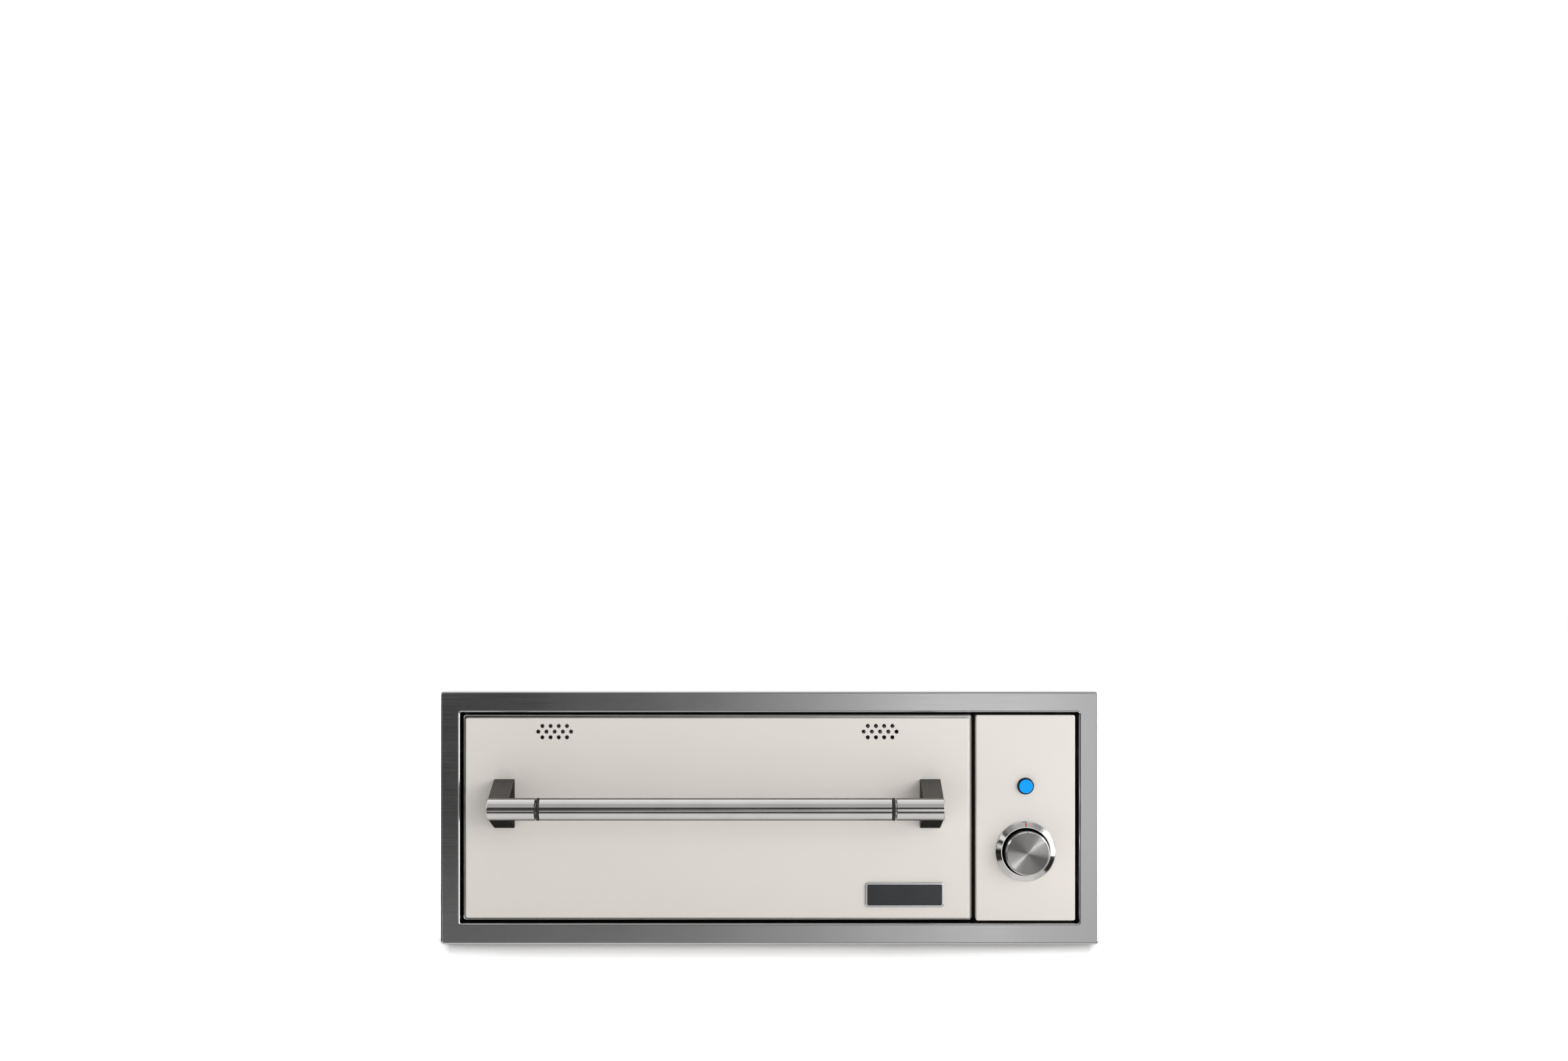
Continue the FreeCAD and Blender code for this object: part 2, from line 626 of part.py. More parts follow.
def knob_bezel():
    """Polished conical ring round the knob, with a flat base that the thermostat's nut clamps."""
    bore = BUSHING_RADIUS + SEAT_GAP
    edge = BEZEL_EDGE
    profile = [
        (bore, 0), (BEZEL_RADIUS, 0), (BEZEL_RADIUS, 2 * edge), (BEZEL_RADIUS - edge, 3 * edge),
        (BEZEL_LIP_RADIUS + edge, BEZEL_HEIGHT), (BEZEL_LIP_RADIUS, BEZEL_HEIGHT),
        (BEZEL_LIP_RADIUS, BEZEL_BASE), (bore, BEZEL_BASE),
    ]
    return turned(profile, CONTROL_X, KNOB_Z)


def on_control(height, z):
    """A point on a control's axis, at a height in front of the panel face."""
    return V(CONTROL_X, FACE_Y - height, z)


def thermostat_body():
    """Thermostat behind the panel, with the bushing that carries the knob's shaft and blade terminals."""
    half = THERMOSTAT_SIZE / 2
    y0 = FACE_Y + SHEET
    body = rounded_block(
        (CONTROL_X - half, CONTROL_X + half), (y0, y0 + THERMOSTAT_DEPTH), (KNOB_Z - half, KNOB_Z + half),
        THERMOSTAT_CORNER,
    )
    bushing = rod(BUSHING_RADIUS, on_control(-SHEET - OVERCUT, KNOB_Z), on_control(BUSHING_HEIGHT, KNOB_Z))
    bore = rod(
        SHAFT_RADIUS + SHAFT_FIT,
        on_control(-SHAFT_INSIDE - SOFT_GAP, KNOB_Z),
        on_control(BUSHING_HEIGHT + OVERCUT, KNOB_Z),
    )
    return body.fuse([bushing] + blades(stat_blades(), y0 + THERMOSTAT_DEPTH)).cut(bore).removeSplitter()


def stat_blades():
    """Where the thermostat's two blade terminals stand, as (x, z)."""
    return (CONTROL_X + BLADE_OFFSET, KNOB_Z + WIRE_SPREAD), (CONTROL_X + WIRE_SPREAD, KNOB_Z - WIRE_SPREAD)


def switch_blades():
    """Where the switch's two blade terminals stand, as (x, z)."""
    return (CONTROL_X - BLADE_OFFSET, BUTTON_Z), (CONTROL_X + BLADE_OFFSET, BUTTON_Z)


def blades(places, rear):
    """Flat blade terminals on a rear face."""
    return [
        block(
            (x - BLADE_WIDTH / 2, x + BLADE_WIDTH / 2),
            (rear - OVERCUT, rear + BLADE_LENGTH),
            (z - BLADE_SHEET / 2, z + BLADE_SHEET / 2),
        )
        for x, z in places
    ]


def thermostat_nut():
    """Hexagonal nut that clamps the bezel and the panel to the thermostat."""
    start = on_control(BEZEL_BASE, KNOB_Z)
    end = on_control(BEZEL_BASE + BUSHING_NUT_HEIGHT, KNOB_Z)
    return hexagon(BUSHING_NUT_RADIUS, start, end).cut(rod(BUSHING_RADIUS + SHAFT_FIT, start, end))


def knob_body():
    """Hollow knob with a chamfered rim, a seat for the face cap and a hub with a flat for the shaft."""
    front = KNOB_FACE
    seat = front - KNOB_CAP
    web = seat - KNOB_WALL
    bore = SHAFT_RADIUS + SHAFT_FIT / 2
    wall = KNOB_RADIUS - KNOB_WALL
    rim = KNOB_RADIUS - KNOB_CHAMFER
    profile = [
        (KNOB_RADIUS, KNOB_START), (KNOB_RADIUS, front - KNOB_CHAMFER), (rim, front), (rim - SEAT_GAP, front),
        (rim - SEAT_GAP, seat), (0, seat), (0, web), (bore, web), (bore, KNOB_HUB_START),
        (KNOB_HUB_RADIUS, KNOB_HUB_START), (KNOB_HUB_RADIUS, web), (wall, web), (wall, KNOB_START),
    ]
    flat = shaft_flat(rod(bore + OVERCUT, on_control(KNOB_HUB_START, KNOB_Z), on_control(web, KNOB_Z)))
    return turned(profile, CONTROL_X, KNOB_Z).fuse(flat).removeSplitter()


def shaft_flat(bar, room=SHAFT_FIT / 2):
    """What a flat on the shaft takes off a bar on the knob's axis, less some room."""
    limits = bar.BoundBox
    return bar.common(block(
        (limits.XMin, limits.XMax), (limits.YMin, limits.YMax), (KNOB_Z + SHAFT_FLAT + room, limits.ZMax)
    ))


def knob_cap():
    """Spun face disc set into the front of the knob."""
    radius = KNOB_RADIUS - KNOB_CHAMFER - 2 * SEAT_GAP
    seat = KNOB_FACE - KNOB_CAP
    edge = KNOB_CAP_EDGE
    profile = [
        (0, seat), (radius, seat), (radius, KNOB_FACE - edge), (radius - edge, KNOB_FACE), (0, KNOB_FACE),
    ]
    return turned(profile, CONTROL_X, KNOB_Z)


def knob_shaft():
    """Thermostat spindle, with a flat in the knob's hub, running in the bushing."""
    end = KNOB_FACE - KNOB_CAP - KNOB_WALL - SEAT_GAP
    shaft = rod(SHAFT_RADIUS, on_control(-SHAFT_INSIDE, KNOB_Z), on_control(end, KNOB_Z))
    tip = rod(SHAFT_RADIUS + OVERCUT, on_control(KNOB_HUB_START - SEAT_GAP, KNOB_Z), on_control(end, KNOB_Z))
    return shaft.cut(shaft_flat(tip, 0))


def switch_body():
    """Push switch: a ring on the panel, a barrel with a well for the button, and two blade terminals."""
    well = BUTTON_RADIUS + BUTTON_FIT
    edge = SWITCH_RING_EDGE
    profile = [
        (well, -SWITCH_WELL), (well, SWITCH_RING_PROUD), (SWITCH_RING_RADIUS - edge, SWITCH_RING_PROUD),
        (SWITCH_RING_RADIUS, SWITCH_RING_PROUD - edge), (SWITCH_RING_RADIUS, 0), (SWITCH_BARREL_RADIUS, 0),
        (SWITCH_BARREL_RADIUS, -SWITCH_DEPTH), (0, -SWITCH_DEPTH), (0, -SWITCH_WELL),
    ]
    body = turned(profile, CONTROL_X, BUTTON_Z)
    return body.fuse(blades(switch_blades(), FACE_Y + SWITCH_DEPTH)).removeSplitter()


def switch_nut():
    """Hexagonal nut that holds the switch to the back of the panel."""
    start = on_control(-SHEET, BUTTON_Z)
    end = on_control(-SHEET - SWITCH_NUT_HEIGHT, BUTTON_Z)
    return hexagon(SWITCH_NUT_RADIUS, start, end).cut(rod(SWITCH_BARREL_RADIUS + SHAFT_FIT, start, end))


def button_cap():
    """Lit push button with a rounded rim."""
    cap = rod(BUTTON_RADIUS, on_control(-BUTTON_INSIDE, BUTTON_Z), on_control(BUTTON_PROUD, BUTTON_Z))
    return cap.makeFillet(BUTTON_ROUND, edges_at(cap, "Y", FACE_Y - BUTTON_PROUD))


def vent_centres(x):
    """Hole centres of one staggered vent group, as (x, z)."""
    centres = []
    for row, count in enumerate(VENT_ROWS):
        z = VENT_Z + VENT_ROW_PITCH * ((len(VENT_ROWS) - 1) / 2 - row)
        centres += [(c, z) for c in slot_centres(x, VENT_PITCH, count)]
    return centres


def vent_groups():
    """Mid-points of the two vent groups."""
    return inset(FRONT_X, VENT_INSET)


def vent_cutters(y):
    """Plain round cutters for both vent groups between two depths."""
    return [drill(VENT_HOLE_RADIUS, x, z, y) for group in vent_groups() for x, z in vent_centres(group)]


def handle_posts():
    """Left and right ends of the handle, each with the way that leads to its middle."""
    return {
        "left": (DRAWER_X - HANDLE_LENGTH / 2, 1),
        "right": (DRAWER_X + HANDLE_LENGTH / 2, -1),
    }


def handle_screw_places():
    """Axes of the screws that hold the handle's posts, as (x, z)."""
    return [
        (end + way * POST_WIDTH / 2, HANDLE_Z + POST_RISE + dz)
        for end, way in handle_posts().values()
        for dz in (-HANDLE_SCREW_SPACING / 2, HANDLE_SCREW_SPACING / 2)
    ]


def drawer_front_panel():
    """Painted front: a shallow folded tray with bevelled vent holes and holes for the handle's screws."""
    tray = folded_pan(FRONT_X, FRONT_Y, FRONT_Z, SHEET, FRONT_CORNER, FRONT_BEND)
    sheet_y = (FACE_Y - OVERCUT, FACE_Y + SHEET + OVERCUT)
    wide = VENT_HOLE_RADIUS + 2 * VENT_BEVEL
    bevels = [
        Part.makeCone(wide, VENT_HOLE_RADIUS, 2 * VENT_BEVEL, V(x, FACE_Y - VENT_BEVEL, z), BACK)
        for group in vent_groups()
        for x, z in vent_centres(group)
    ]
    screws = [drill(HANDLE_SCREW_RADIUS + SEAT_GAP, x, z, sheet_y) for x, z in handle_screw_places()]
    return tray.cut(vent_cutters(sheet_y) + bevels + screws)


def shutter_tab(x, grow=0.0, travel=0.0):
    """Finger tab of a vent shutter, or with room and travel the slot that it slides in."""
    half = TAB_WIDTH / 2 + grow
    z = VENT_Z - TAB_DROP
    return block(
        (x - half, x + half + travel),
        (SHUTTER_Y[0], INNER_Y[1] + TAB_REACH),
        (z - TAB_HEIGHT / 2 - grow, z + TAB_HEIGHT / 2 + grow),
    )


def drawer_inner_front():
    """Steel box behind the painted front, open in the middle of its front and a little larger all round."""
    box = rounded_block(INNER_X, INNER_Y, INNER_Z, INNER_FRONT_CORNER, INNER_FRONT_BEND)
    hollow = rounded_block(
        inset(INNER_X, THIN_SHEET), inset(INNER_Y, THIN_SHEET), inset(INNER_Z, THIN_SHEET),
        INNER_FRONT_CORNER - THIN_SHEET, INNER_FRONT_BEND - THIN_SHEET,
    )
    mouth_y = (INNER_Y[0] - OVERCUT, INNER_Y[0] + THIN_SHEET + OVERCUT)
    mouth = block(inset(INNER_X, INNER_FRONT_RING), mouth_y, inset(INNER_Z, INNER_FRONT_RING))
    back_y = (INNER_Y[1] - THIN_SHEET - OVERCUT, INNER_Y[1] + OVERCUT)
    tabs = [shutter_tab(x, RUN_GAP, SHUTTER_TRAVEL) for x in vent_groups()]
    ring_edge = INNER_Z[1] - INNER_FRONT_RING - VENT_HOLE_RADIUS
    vent_mouths = [
        drill(VENT_HOLE_RADIUS, x, z, mouth_y)
        for group in vent_groups()
        for x, z in vent_centres(group)
        if z > ring_edge
    ]
    return box.cut([hollow, mouth] + vent_cutters(back_y) + tabs + vent_mouths)


def front_insulation():
    """Slab of mineral wool in the lower part of the drawer's front."""
    x = inset(INNER_X, THIN_SHEET + SOFT_GAP)
    y = inset(INNER_Y, THIN_SHEET + SOFT_GAP)
    z = (INNER_Z[0] + THIN_SHEET + SOFT_GAP, VENT_Z - SHUTTER_BELOW - GUIDE_WIDTH - SOFT_GAP)
    return rounded_block(x, y, z, INNER_FRONT_CORNER, INNER_FRONT_BEND)


def vent_shutter(x):
    """Perforated slide that closes a vent group when it moves half a pitch, with its finger tab."""
    z = (VENT_Z - SHUTTER_BELOW, VENT_Z + SHUTTER_ABOVE)
    plate = block((x - SHUTTER_HALF_WIDTH, x + SHUTTER_HALF_WIDTH), SHUTTER_Y, z)
    through = inset(SHUTTER_Y, -OVERCUT)
    holes = [drill(VENT_HOLE_RADIUS, cx, cz, through) for cx, cz in vent_centres(x)]
    return plate.cut(holes).fuse(shutter_tab(x)).removeSplitter()


def vent_guides():
    """Stepped strips above and below each shutter that hold it against the drawer's inner front."""
    back = INNER_Y[1] - THIN_SHEET
    front = SHUTTER_Y[0] - RUN_GAP
    strips = []
    for x in vent_groups():
        span = (x - SHUTTER_HALF_WIDTH, x + SHUTTER_HALF_WIDTH + SHUTTER_TRAVEL)
        for edge, way in ((VENT_Z - SHUTTER_BELOW, 1), (VENT_Z + SHUTTER_ABOVE, -1)):
            near = edge - way * RUN_GAP
            far = edge - way * GUIDE_WIDTH
            grip = edge + way * GUIDE_GRIP
            spacer = block(span, (front, back), tuple(sorted((near, far))))
            keeper = block(span, (front - THIN_SHEET, front), tuple(sorted((grip, far))))
            strips.append(spacer.fuse(keeper).removeSplitter())
    return Part.makeCompound(strips)


def flank_ends(x, rise):
    """Ends of a post's flank: on the front, this far above the bar's axis, and where it meets the sleeve."""
    reach = math.hypot(HANDLE_STANDOFF, rise)
    slope = math.atan2(abs(rise), HANDLE_STANDOFF) - math.asin(BAR_RADIUS / reach)
    touch_z = math.copysign(BAR_RADIUS * math.cos(slope), rise)
    return [V(x, FACE_Y, HANDLE_Z + rise), V(x, BAR_Y + BAR_RADIUS * math.sin(slope), HANDLE_Z + touch_z)]


def handle_bracket(end, way):
    """One end of the handle: a tapered post that runs into a round sleeve, with a spigot for the bar."""
    above = flank_ends(end, POST_RISE + POST_HEIGHT / 2)
    below = flank_ends(end, POST_RISE - POST_HEIGHT / 2)
    post = prism(above + below[::-1], V(way * POST_WIDTH, 0, 0))
    flanks = [e for e in post.Edges if abs(e.Vertexes[0].Y - e.Vertexes[1].Y) > OVERCUT]
    post = post.makeFillet(POST_ROUND, flanks)
    inner = end + way * SLEEVE_LENGTH
    sleeve = rod(BAR_RADIUS, V(end, BAR_Y, HANDLE_Z), V(inner, BAR_Y, HANDLE_Z))
    sleeve = sleeve.makeChamfer(EDGE_BREAK, edges_at(sleeve, "X", end) + edges_at(sleeve, "X", inner))
    tip = inner + way * (NECK_LENGTH + RING_WIDTH + SPIGOT_DEPTH)
    spigot = rod(NECK_RADIUS, V(inner - way * OVERCUT, BAR_Y, HANDLE_Z), V(tip, BAR_Y, HANDLE_Z))
    depth = (FACE_Y - HANDLE_SCREW_LENGTH, FACE_Y + OVERCUT)
    holes = [drill(HANDLE_SCREW_RADIUS + SHAFT_FIT, x, z, depth) for x, z in handle_screw_places()]
    return post.fuse([sleeve, spigot]).cut(holes).removeSplitter()


def handle_bar():
    """Tube between the two handle ends, carried on their spigots."""
    half = HANDLE_LENGTH / 2 - SLEEVE_LENGTH - NECK_LENGTH - RING_WIDTH
    start = V(DRAWER_X - half, BAR_Y, HANDLE_Z)
    end = V(DRAWER_X + half, BAR_Y, HANDLE_Z)
    bar = rod(BAR_RADIUS, start, end)
    bar = bar.makeChamfer(EDGE_BREAK, edges_at(bar, "X", start.x) + edges_at(bar, "X", end.x))
    return bar.cut(rod(NECK_RADIUS + SEAT_GAP, start, end))


def handle_rings():
    """Black rings between the bar and the two ends."""
    rings = []
    for end, way in handle_posts().values():
        start = V(end + way * (SLEEVE_LENGTH + NECK_LENGTH), BAR_Y, HANDLE_Z)
        stop = start + V(way * RING_WIDTH, 0, 0)
        ring = rod(RING_RADIUS, start, stop)
        ring = ring.makeFillet(RING_ROUND, edges_at(ring, "X", start.x) + edges_at(ring, "X", stop.x))
        rings.append(ring.cut(rod(NECK_RADIUS + SEAT_GAP, start, stop)))
    return Part.makeCompound(rings)


def handle_screws():
    """Screws from behind the painted front into the posts."""
    sheet_back = FACE_Y + SHEET
    head_y = (sheet_back, sheet_back + HANDLE_SCREW_HEAD_HEIGHT)
    shank_y = (FACE_Y - HANDLE_SCREW_LENGTH + OVERCUT, sheet_back)
    screws = []
    for x, z in handle_screw_places():
        head = drill(HANDLE_SCREW_HEAD, x, z, head_y)
        screws.append(head.fuse(drill(HANDLE_SCREW_RADIUS, x, z, shank_y)).removeSplitter())
    return Part.makeCompound(screws)


def badge_spans():
    """Where the badge lies on the drawer's front, as x and z spans."""
    right = FRONT_X[1] - BADGE_FROM_RIGHT
    bottom = FRONT_Z[0] + BADGE_FROM_BOTTOM
    return (right - BADGE_WIDTH, right), (bottom, bottom + BADGE_HEIGHT)


def badge_frame():
    """Bright rim and backing of the blank badge."""
    x, z = badge_spans()
    y = (FACE_Y - BADGE_DEPTH, FACE_Y)
    plate = rounded_block(x, y, z, BADGE_CORNER, EDGE_BREAK)
    recess_y = (y[0] - OVERCUT, y[0] + BADGE_RECESS)
    recess = rounded_block(inset(x, BADGE_RIM), recess_y, inset(z, BADGE_RIM), BADGE_CORNER - BADGE_RIM)
    return plate.cut(recess)


def badge_inlay():
    """Dark blank inlay in the badge's recess."""
    x, z = badge_spans()
    floor = FACE_Y - BADGE_DEPTH + BADGE_RECESS
    margin = BADGE_RIM + SEAT_GAP
    corner = BADGE_CORNER - margin
    return rounded_block(inset(x, margin), (floor - BADGE_INLAY, floor), inset(z, margin), corner)


def slide_place(side):
    """The wall that a slide hangs on and the way that leads to the drawer."""
    return (CAVITY_X[0], 1) if side == "left" else (CAVITY_X[1], -1)


def rail(side, upper, y=SLIDE_Y):
    """A channel run along Y: the upper half of its section, as (distance from the wall, height), mirrored."""
    wall, way = slide_place(side)
    outline = upper + [(u, -w) for u, w in reversed(upper)]
    points = [V(wall + way * u, y[0], SLIDE_Z + w) for u, w in outline]
    return prism(points, V(0, y[1] - y[0], 0))


def bent(shape, side, corner, radius):
    """A channel with the long edges at one corner of its section rounded, above and below."""
    wall, way = slide_place(side)
    u, w = corner
    edges = [
        e
        for e in edges_along(shape, "Y")
        if abs(e.Vertexes[0].X - wall - way * u) < 1e-6 and abs(abs(e.Vertexes[0].Z - SLIDE_Z) - w) < 1e-6
    ]
    return shape.makeFillet(radius, edges)


def race_bars(side, row, radius):
    """Round bars along a cage's two ball rows."""
    wall, way = slide_place(side)
    u, w = row
    return [drill(radius, wall + way * u, SLIDE_Z + height, SLIDE_Y) for height in (w, -w)]


def web_holes(side, u, radius):
    """Cross bars for the holes along a rail's web, at this distance from the wall."""
    wall, way = slide_place(side)
    x = wall + way * u
    pitch = (SLIDE_Y[1] - SLIDE_Y[0] - 2 * RAIL_HOLE_SETBACK) / (RAIL_HOLE_COUNT - 1)
    return [
        rod(radius, V(x - SHEET, y, SLIDE_Z), V(x + SHEET, y, SLIDE_Z))
        for y in slot_centres(sum(SLIDE_Y) / 2, pitch, RAIL_HOLE_COUNT)
    ]


def race_heights():
    """Half heights of the raceways: outer rail inside, middle rail outside and inside, inner rail outside."""
    ball_space = 2 * (BALL_RADIUS + BALL_CLEAR)
    outer_in = SLIDE_HEIGHT / 2 - SHEET
    middle_out = outer_in - ball_space
    middle_in = middle_out - SHEET
    return outer_in, middle_out, middle_in, middle_in - ball_space


def cage_reach(kind):
    """Where a cage's web starts and where its flanges end, as distances from the wall."""
    if kind == "outer":
        return (SHEET + MIDDLE_OFFSET - CAGE_SHEET) / 2, OUTER_FLANGE - SHEET - RUN_GAP
    return MIDDLE_OFFSET + SHEET + RUN_GAP, MIDDLE_OFFSET + MIDDLE_FLANGE - RUN_GAP


def ball_row(kind):
    """A cage's upper ball row, as (distance from the wall, height above the slide's middle)."""
    web, end = cage_reach(kind)
    heights = race_heights()
    races = heights[:2] if kind == "outer" else heights[2:]
    return (web + CAGE_SHEET + end) / 2, sum(races) / 2


def slide_outer(side):
    """Fixed rail: a channel on the cavity wall, with a raceway rolled out of each lipped flange."""
    row = ball_row("outer")
    inside = row[1] + RACE_LIP
    top = inside + SHEET
    lip = inside - OUTER_LIP
    upper = [
        (SHEET, inside), (OUTER_FLANGE - SHEET, inside), (OUTER_FLANGE - SHEET, lip),
        (OUTER_FLANGE, lip), (OUTER_FLANGE, top), (0, top),
    ]
    channel = bent(rail(side, upper), side, (0, top), RAIL_BEND + SHEET)
    channel = bent(channel, side, (SHEET, inside), RAIL_BEND)
    channel = bent(channel, side, (OUTER_FLANGE, top), RAIL_BEND)
    groove = BALL_RADIUS + BALL_CLEAR
    wall, way = slide_place(side)
    x = tuple(sorted((wall, wall + way * OUTER_FLANGE)))
    between = block(x, inset(SLIDE_Y, -OVERCUT), (SLIDE_Z - inside, SLIDE_Z + inside))
    beads = [bar.cut(between) for bar in race_bars(side, row, groove + SHEET)]
    cutters = race_bars(side, row, groove) + web_holes(side, SHEET / 2, RAIL_HOLE_RADIUS)
    return channel.fuse(beads).cut(cutters).removeSplitter()


def slide_middle(side):
    """Travelling rail: a channel that runs inside the outer rail and carries the inner balls."""
    _, outside, inside, _ = race_heights()
    web = MIDDLE_OFFSET + SHEET
    edge = MIDDLE_OFFSET + MIDDLE_FLANGE
    upper = [(web, inside), (edge, inside), (edge, outside), (MIDDLE_OFFSET, outside)]
    channel = bent(rail(side, upper), side, (MIDDLE_OFFSET, outside), RAIL_BEND + SHEET)
    channel = bent(channel, side, (web, inside), RAIL_BEND)
    return channel.cut(web_holes(side, web - SHEET / 2, ACCESS_HOLE_RADIUS))


def slide_inner(side):
    """Drawer rail: a channel on the drawer's side that faces the wall, with a raceway in each flange."""
    row = ball_row("inner")
    outside = row[1] - RACE_LIP
    inside = outside - SHEET
    web = SLIDE_WIDTH - SHEET
    edge = SLIDE_WIDTH - INNER_FLANGE
    upper = [(web, inside), (edge, inside), (edge, outside), (SLIDE_WIDTH, outside)]
    channel = bent(rail(side, upper), side, (SLIDE_WIDTH, outside), RAIL_BEND + SHEET)
    groove = BALL_RADIUS + BALL_CLEAR
    wall, way = slide_place(side)
    x = tuple(sorted((wall + way * edge, wall + way * SLIDE_WIDTH)))
    within = block(x, SLIDE_Y, (SLIDE_Z - outside, SLIDE_Z + outside))
    beads = [bar.common(within) for bar in race_bars(side, row, groove + SHEET)]
    cutters = race_bars(side, row, groove) + web_holes(side, SLIDE_WIDTH - SHEET / 2, RAIL_HOLE_RADIUS)
    return channel.fuse(beads).cut(cutters).removeSplitter()


def ball_cage(side, kind):
    """A strip with two rows of balls between two rails, which both cover it at each end of the travel."""
    wall, way = slide_place(side)
    start = SLIDE_Y[0] + DRAWER_TRAVEL * OUTER_CAGE_SHARE + SLIDE_MARGIN
    y = (start, start + BALL_PITCH * BALL_COUNT)
    web, flange_end = cage_reach(kind)
    ball_u, middle = ball_row(kind)
    low = middle - CAGE_SHEET / 2
    high = middle + CAGE_SHEET / 2
    strip = rail(side, [(web + CAGE_SHEET, low), (flange_end, low), (flange_end, high), (web, high)], y)
    balls = [
        Part.makeSphere(BALL_RADIUS, V(wall + way * ball_u, ball_y, SLIDE_Z + row))
        for ball_y in slot_centres(sum(y) / 2, BALL_PITCH, BALL_COUNT)
        for row in (-middle, middle)
    ]
    return strip.fuse(balls)


def carrier_spans(side):
    """X spans of a carrier: its web, and its web with the flange that turns towards the drawer."""
    wall, way = slide_place(side)
    near = wall + way * SLIDE_WIDTH
    web = tuple(sorted((near, near + way * SHEET)))
    flange = tuple(sorted((near, near + way * (SHEET + CARRIER_FLANGE))))
    return web, flange


def drawer_side(side):
    """Carrier on a slide: a web, a top flange for the pan's rim and a front flange on the inner front."""
    web, flange = carrier_spans(side)
    z = (CARRIER_BOTTOM, CARRIER_TOP)
    plate = block(web, CARRIER_Y, z)
    top = block(flange, CARRIER_Y, (CARRIER_TOP - SHEET, CARRIER_TOP))
    front = block(flange, (CARRIER_Y[0], CARRIER_Y[0] + SHEET), z)
    return plate.fuse([top, front]).removeSplitter()


def drawer_rear_rail():
    """Cross rail that ties the two carriers together behind the pan."""
    x = (carrier_spans("left")[0][1], carrier_spans("right")[0][0])
    y = (CARRIER_Y[1] - SHEET, CARRIER_Y[1])
    z = (CARRIER_TOP - SHEET - REAR_RAIL_HEIGHT, CARRIER_TOP - SHEET)
    plate = block(x, y, z)
    flange = block(x, (CARRIER_Y[1] - CARRIER_FLANGE, CARRIER_Y[1]), (z[1] - SHEET, z[1]))
    return plate.fuse(flange).removeSplitter()


def drawer_pan():
    """Lift-out food pan with a turned-out rim that hangs on the carriers."""
    x = (carrier_spans("left")[1][1] + PAN_SLACK, carrier_spans("right")[1][0] - PAN_SLACK)
    y = (CARRIER_Y[0] + PAN_FRONT_GAP, CARRIER_Y[1] - CARRIER_FLANGE - PAN_SLACK)
    top = CARRIER_TOP + THIN_SHEET
    outer = rounded_block(x, y, (PAN_BOTTOM, top), PAN_CORNER, axis="Z")
    outer = outer.makeFillet(PAN_FLOOR_ROUND, edges_at(outer, "Z", PAN_BOTTOM))
    rim = rounded_block(
        inset(x, -PAN_RIM), inset(y, -PAN_RIM), (CARRIER_TOP, top), PAN_CORNER + PAN_RIM, axis="Z"
    )
    inner_z = (PAN_BOTTOM + THIN_SHEET, top + PAN_CORNER)
    inner = rounded_block(
        inset(x, THIN_SHEET), inset(y, THIN_SHEET), inner_z, PAN_CORNER - THIN_SHEET, axis="Z"
    )
    inner = inner.makeFillet(PAN_FLOOR_ROUND - THIN_SHEET, edges_at(inner, "Z", inner_z[0]))
    return outer.fuse(rim).cut(inner).removeSplitter()


def heating_element():
    """Sheathed element bent into an M on the cavity floor, with both ends out through the back."""
    left, right = terminal_places()
    back = CAVITY_Y[1] - ELEMENT_BACK_GAP
    out = CAVITY_Y[1] + ELEMENT_OUTSIDE
    half_route = [
        (left, out), (left, back), (DRAWER_X - ELEMENT_HALF_WIDTH, back),
        (DRAWER_X - ELEMENT_HALF_WIDTH, ELEMENT_FRONT), (DRAWER_X - ELEMENT_HALF_INNER, ELEMENT_FRONT),
        (DRAWER_X - ELEMENT_HALF_INNER, ELEMENT_INNER_BACK),
    ]
    mirrored = [(2 * DRAWER_X - x, y) for x, y in reversed(half_route)]
    points = [V(x, y, ELEMENT_Z) for x, y in half_route + mirrored]
    bend = min(ELEMENT_BEND, (right - left) / 2)
    return bent_tube(points, ELEMENT_RADIUS, bend)


def element_supports():
    """Grooved posts on the cavity floor under the element's long runs."""
    half = SUPPORT_WIDTH / 2
    posts = []
    for offset in (-ELEMENT_HALF_WIDTH, -ELEMENT_HALF_INNER, ELEMENT_HALF_INNER, ELEMENT_HALF_WIDTH):
        x = DRAWER_X + offset
        y = (ELEMENT_FRONT + ELEMENT_INNER_BACK) / 2
        span = (y - SUPPORT_LENGTH / 2, y + SUPPORT_LENGTH / 2)
        post = block((x - half, x + half), span, (CAVITY_Z[0], ELEMENT_Z))
        posts.append(post.cut(drill(ELEMENT_RADIUS + RUN_GAP, x, ELEMENT_Z, inset(span, -OVERCUT))))
    return Part.makeCompound(posts)


def element_bushings():
    """Ceramic collars that carry the element's ends through the cavity's back wall."""
    y = (CAVITY_Y[1] - BUSHING_COLLAR_HALF, CAVITY_Y[1] + BUSHING_COLLAR_HALF)
    collars = [
        drill(BUSHING_COLLAR_RADIUS, x, ELEMENT_Z, y).cut(drill(ELEMENT_RADIUS + SEAT_GAP, x, ELEMENT_Z, y))
        for x in terminal_places()
    ]
    return Part.makeCompound(collars)


def bulb_place():
    """X of the probe's bulb and the Y span that it covers."""
    start = PROBE_Y + 2 * PROBE_BEND
    return probe_corners()[1].x, (start, start + BULB_LENGTH)


def thermostat_probe():
    """Capillary from the thermostat into the cavity, with its sensing bulb."""
    bulb_x, bulb_y = bulb_place()
    route = [
        V(CONTROL_X, FACE_Y + SHEET + THERMOSTAT_DEPTH, KNOB_Z), *probe_corners(),
        V(bulb_x, bulb_y[0] + BULB_RADIUS, PROBE_Z),
    ]
    bend = min(PROBE_BEND, BULB_FROM_WALL - BULB_RADIUS)
    capillary = bent_tube(route, PROBE_RADIUS, bend)
    bulb = rod(BULB_RADIUS, V(bulb_x, bulb_y[0], PROBE_Z), V(bulb_x, bulb_y[1], PROBE_Z))
    return capillary.fuse(bulb).removeSplitter()


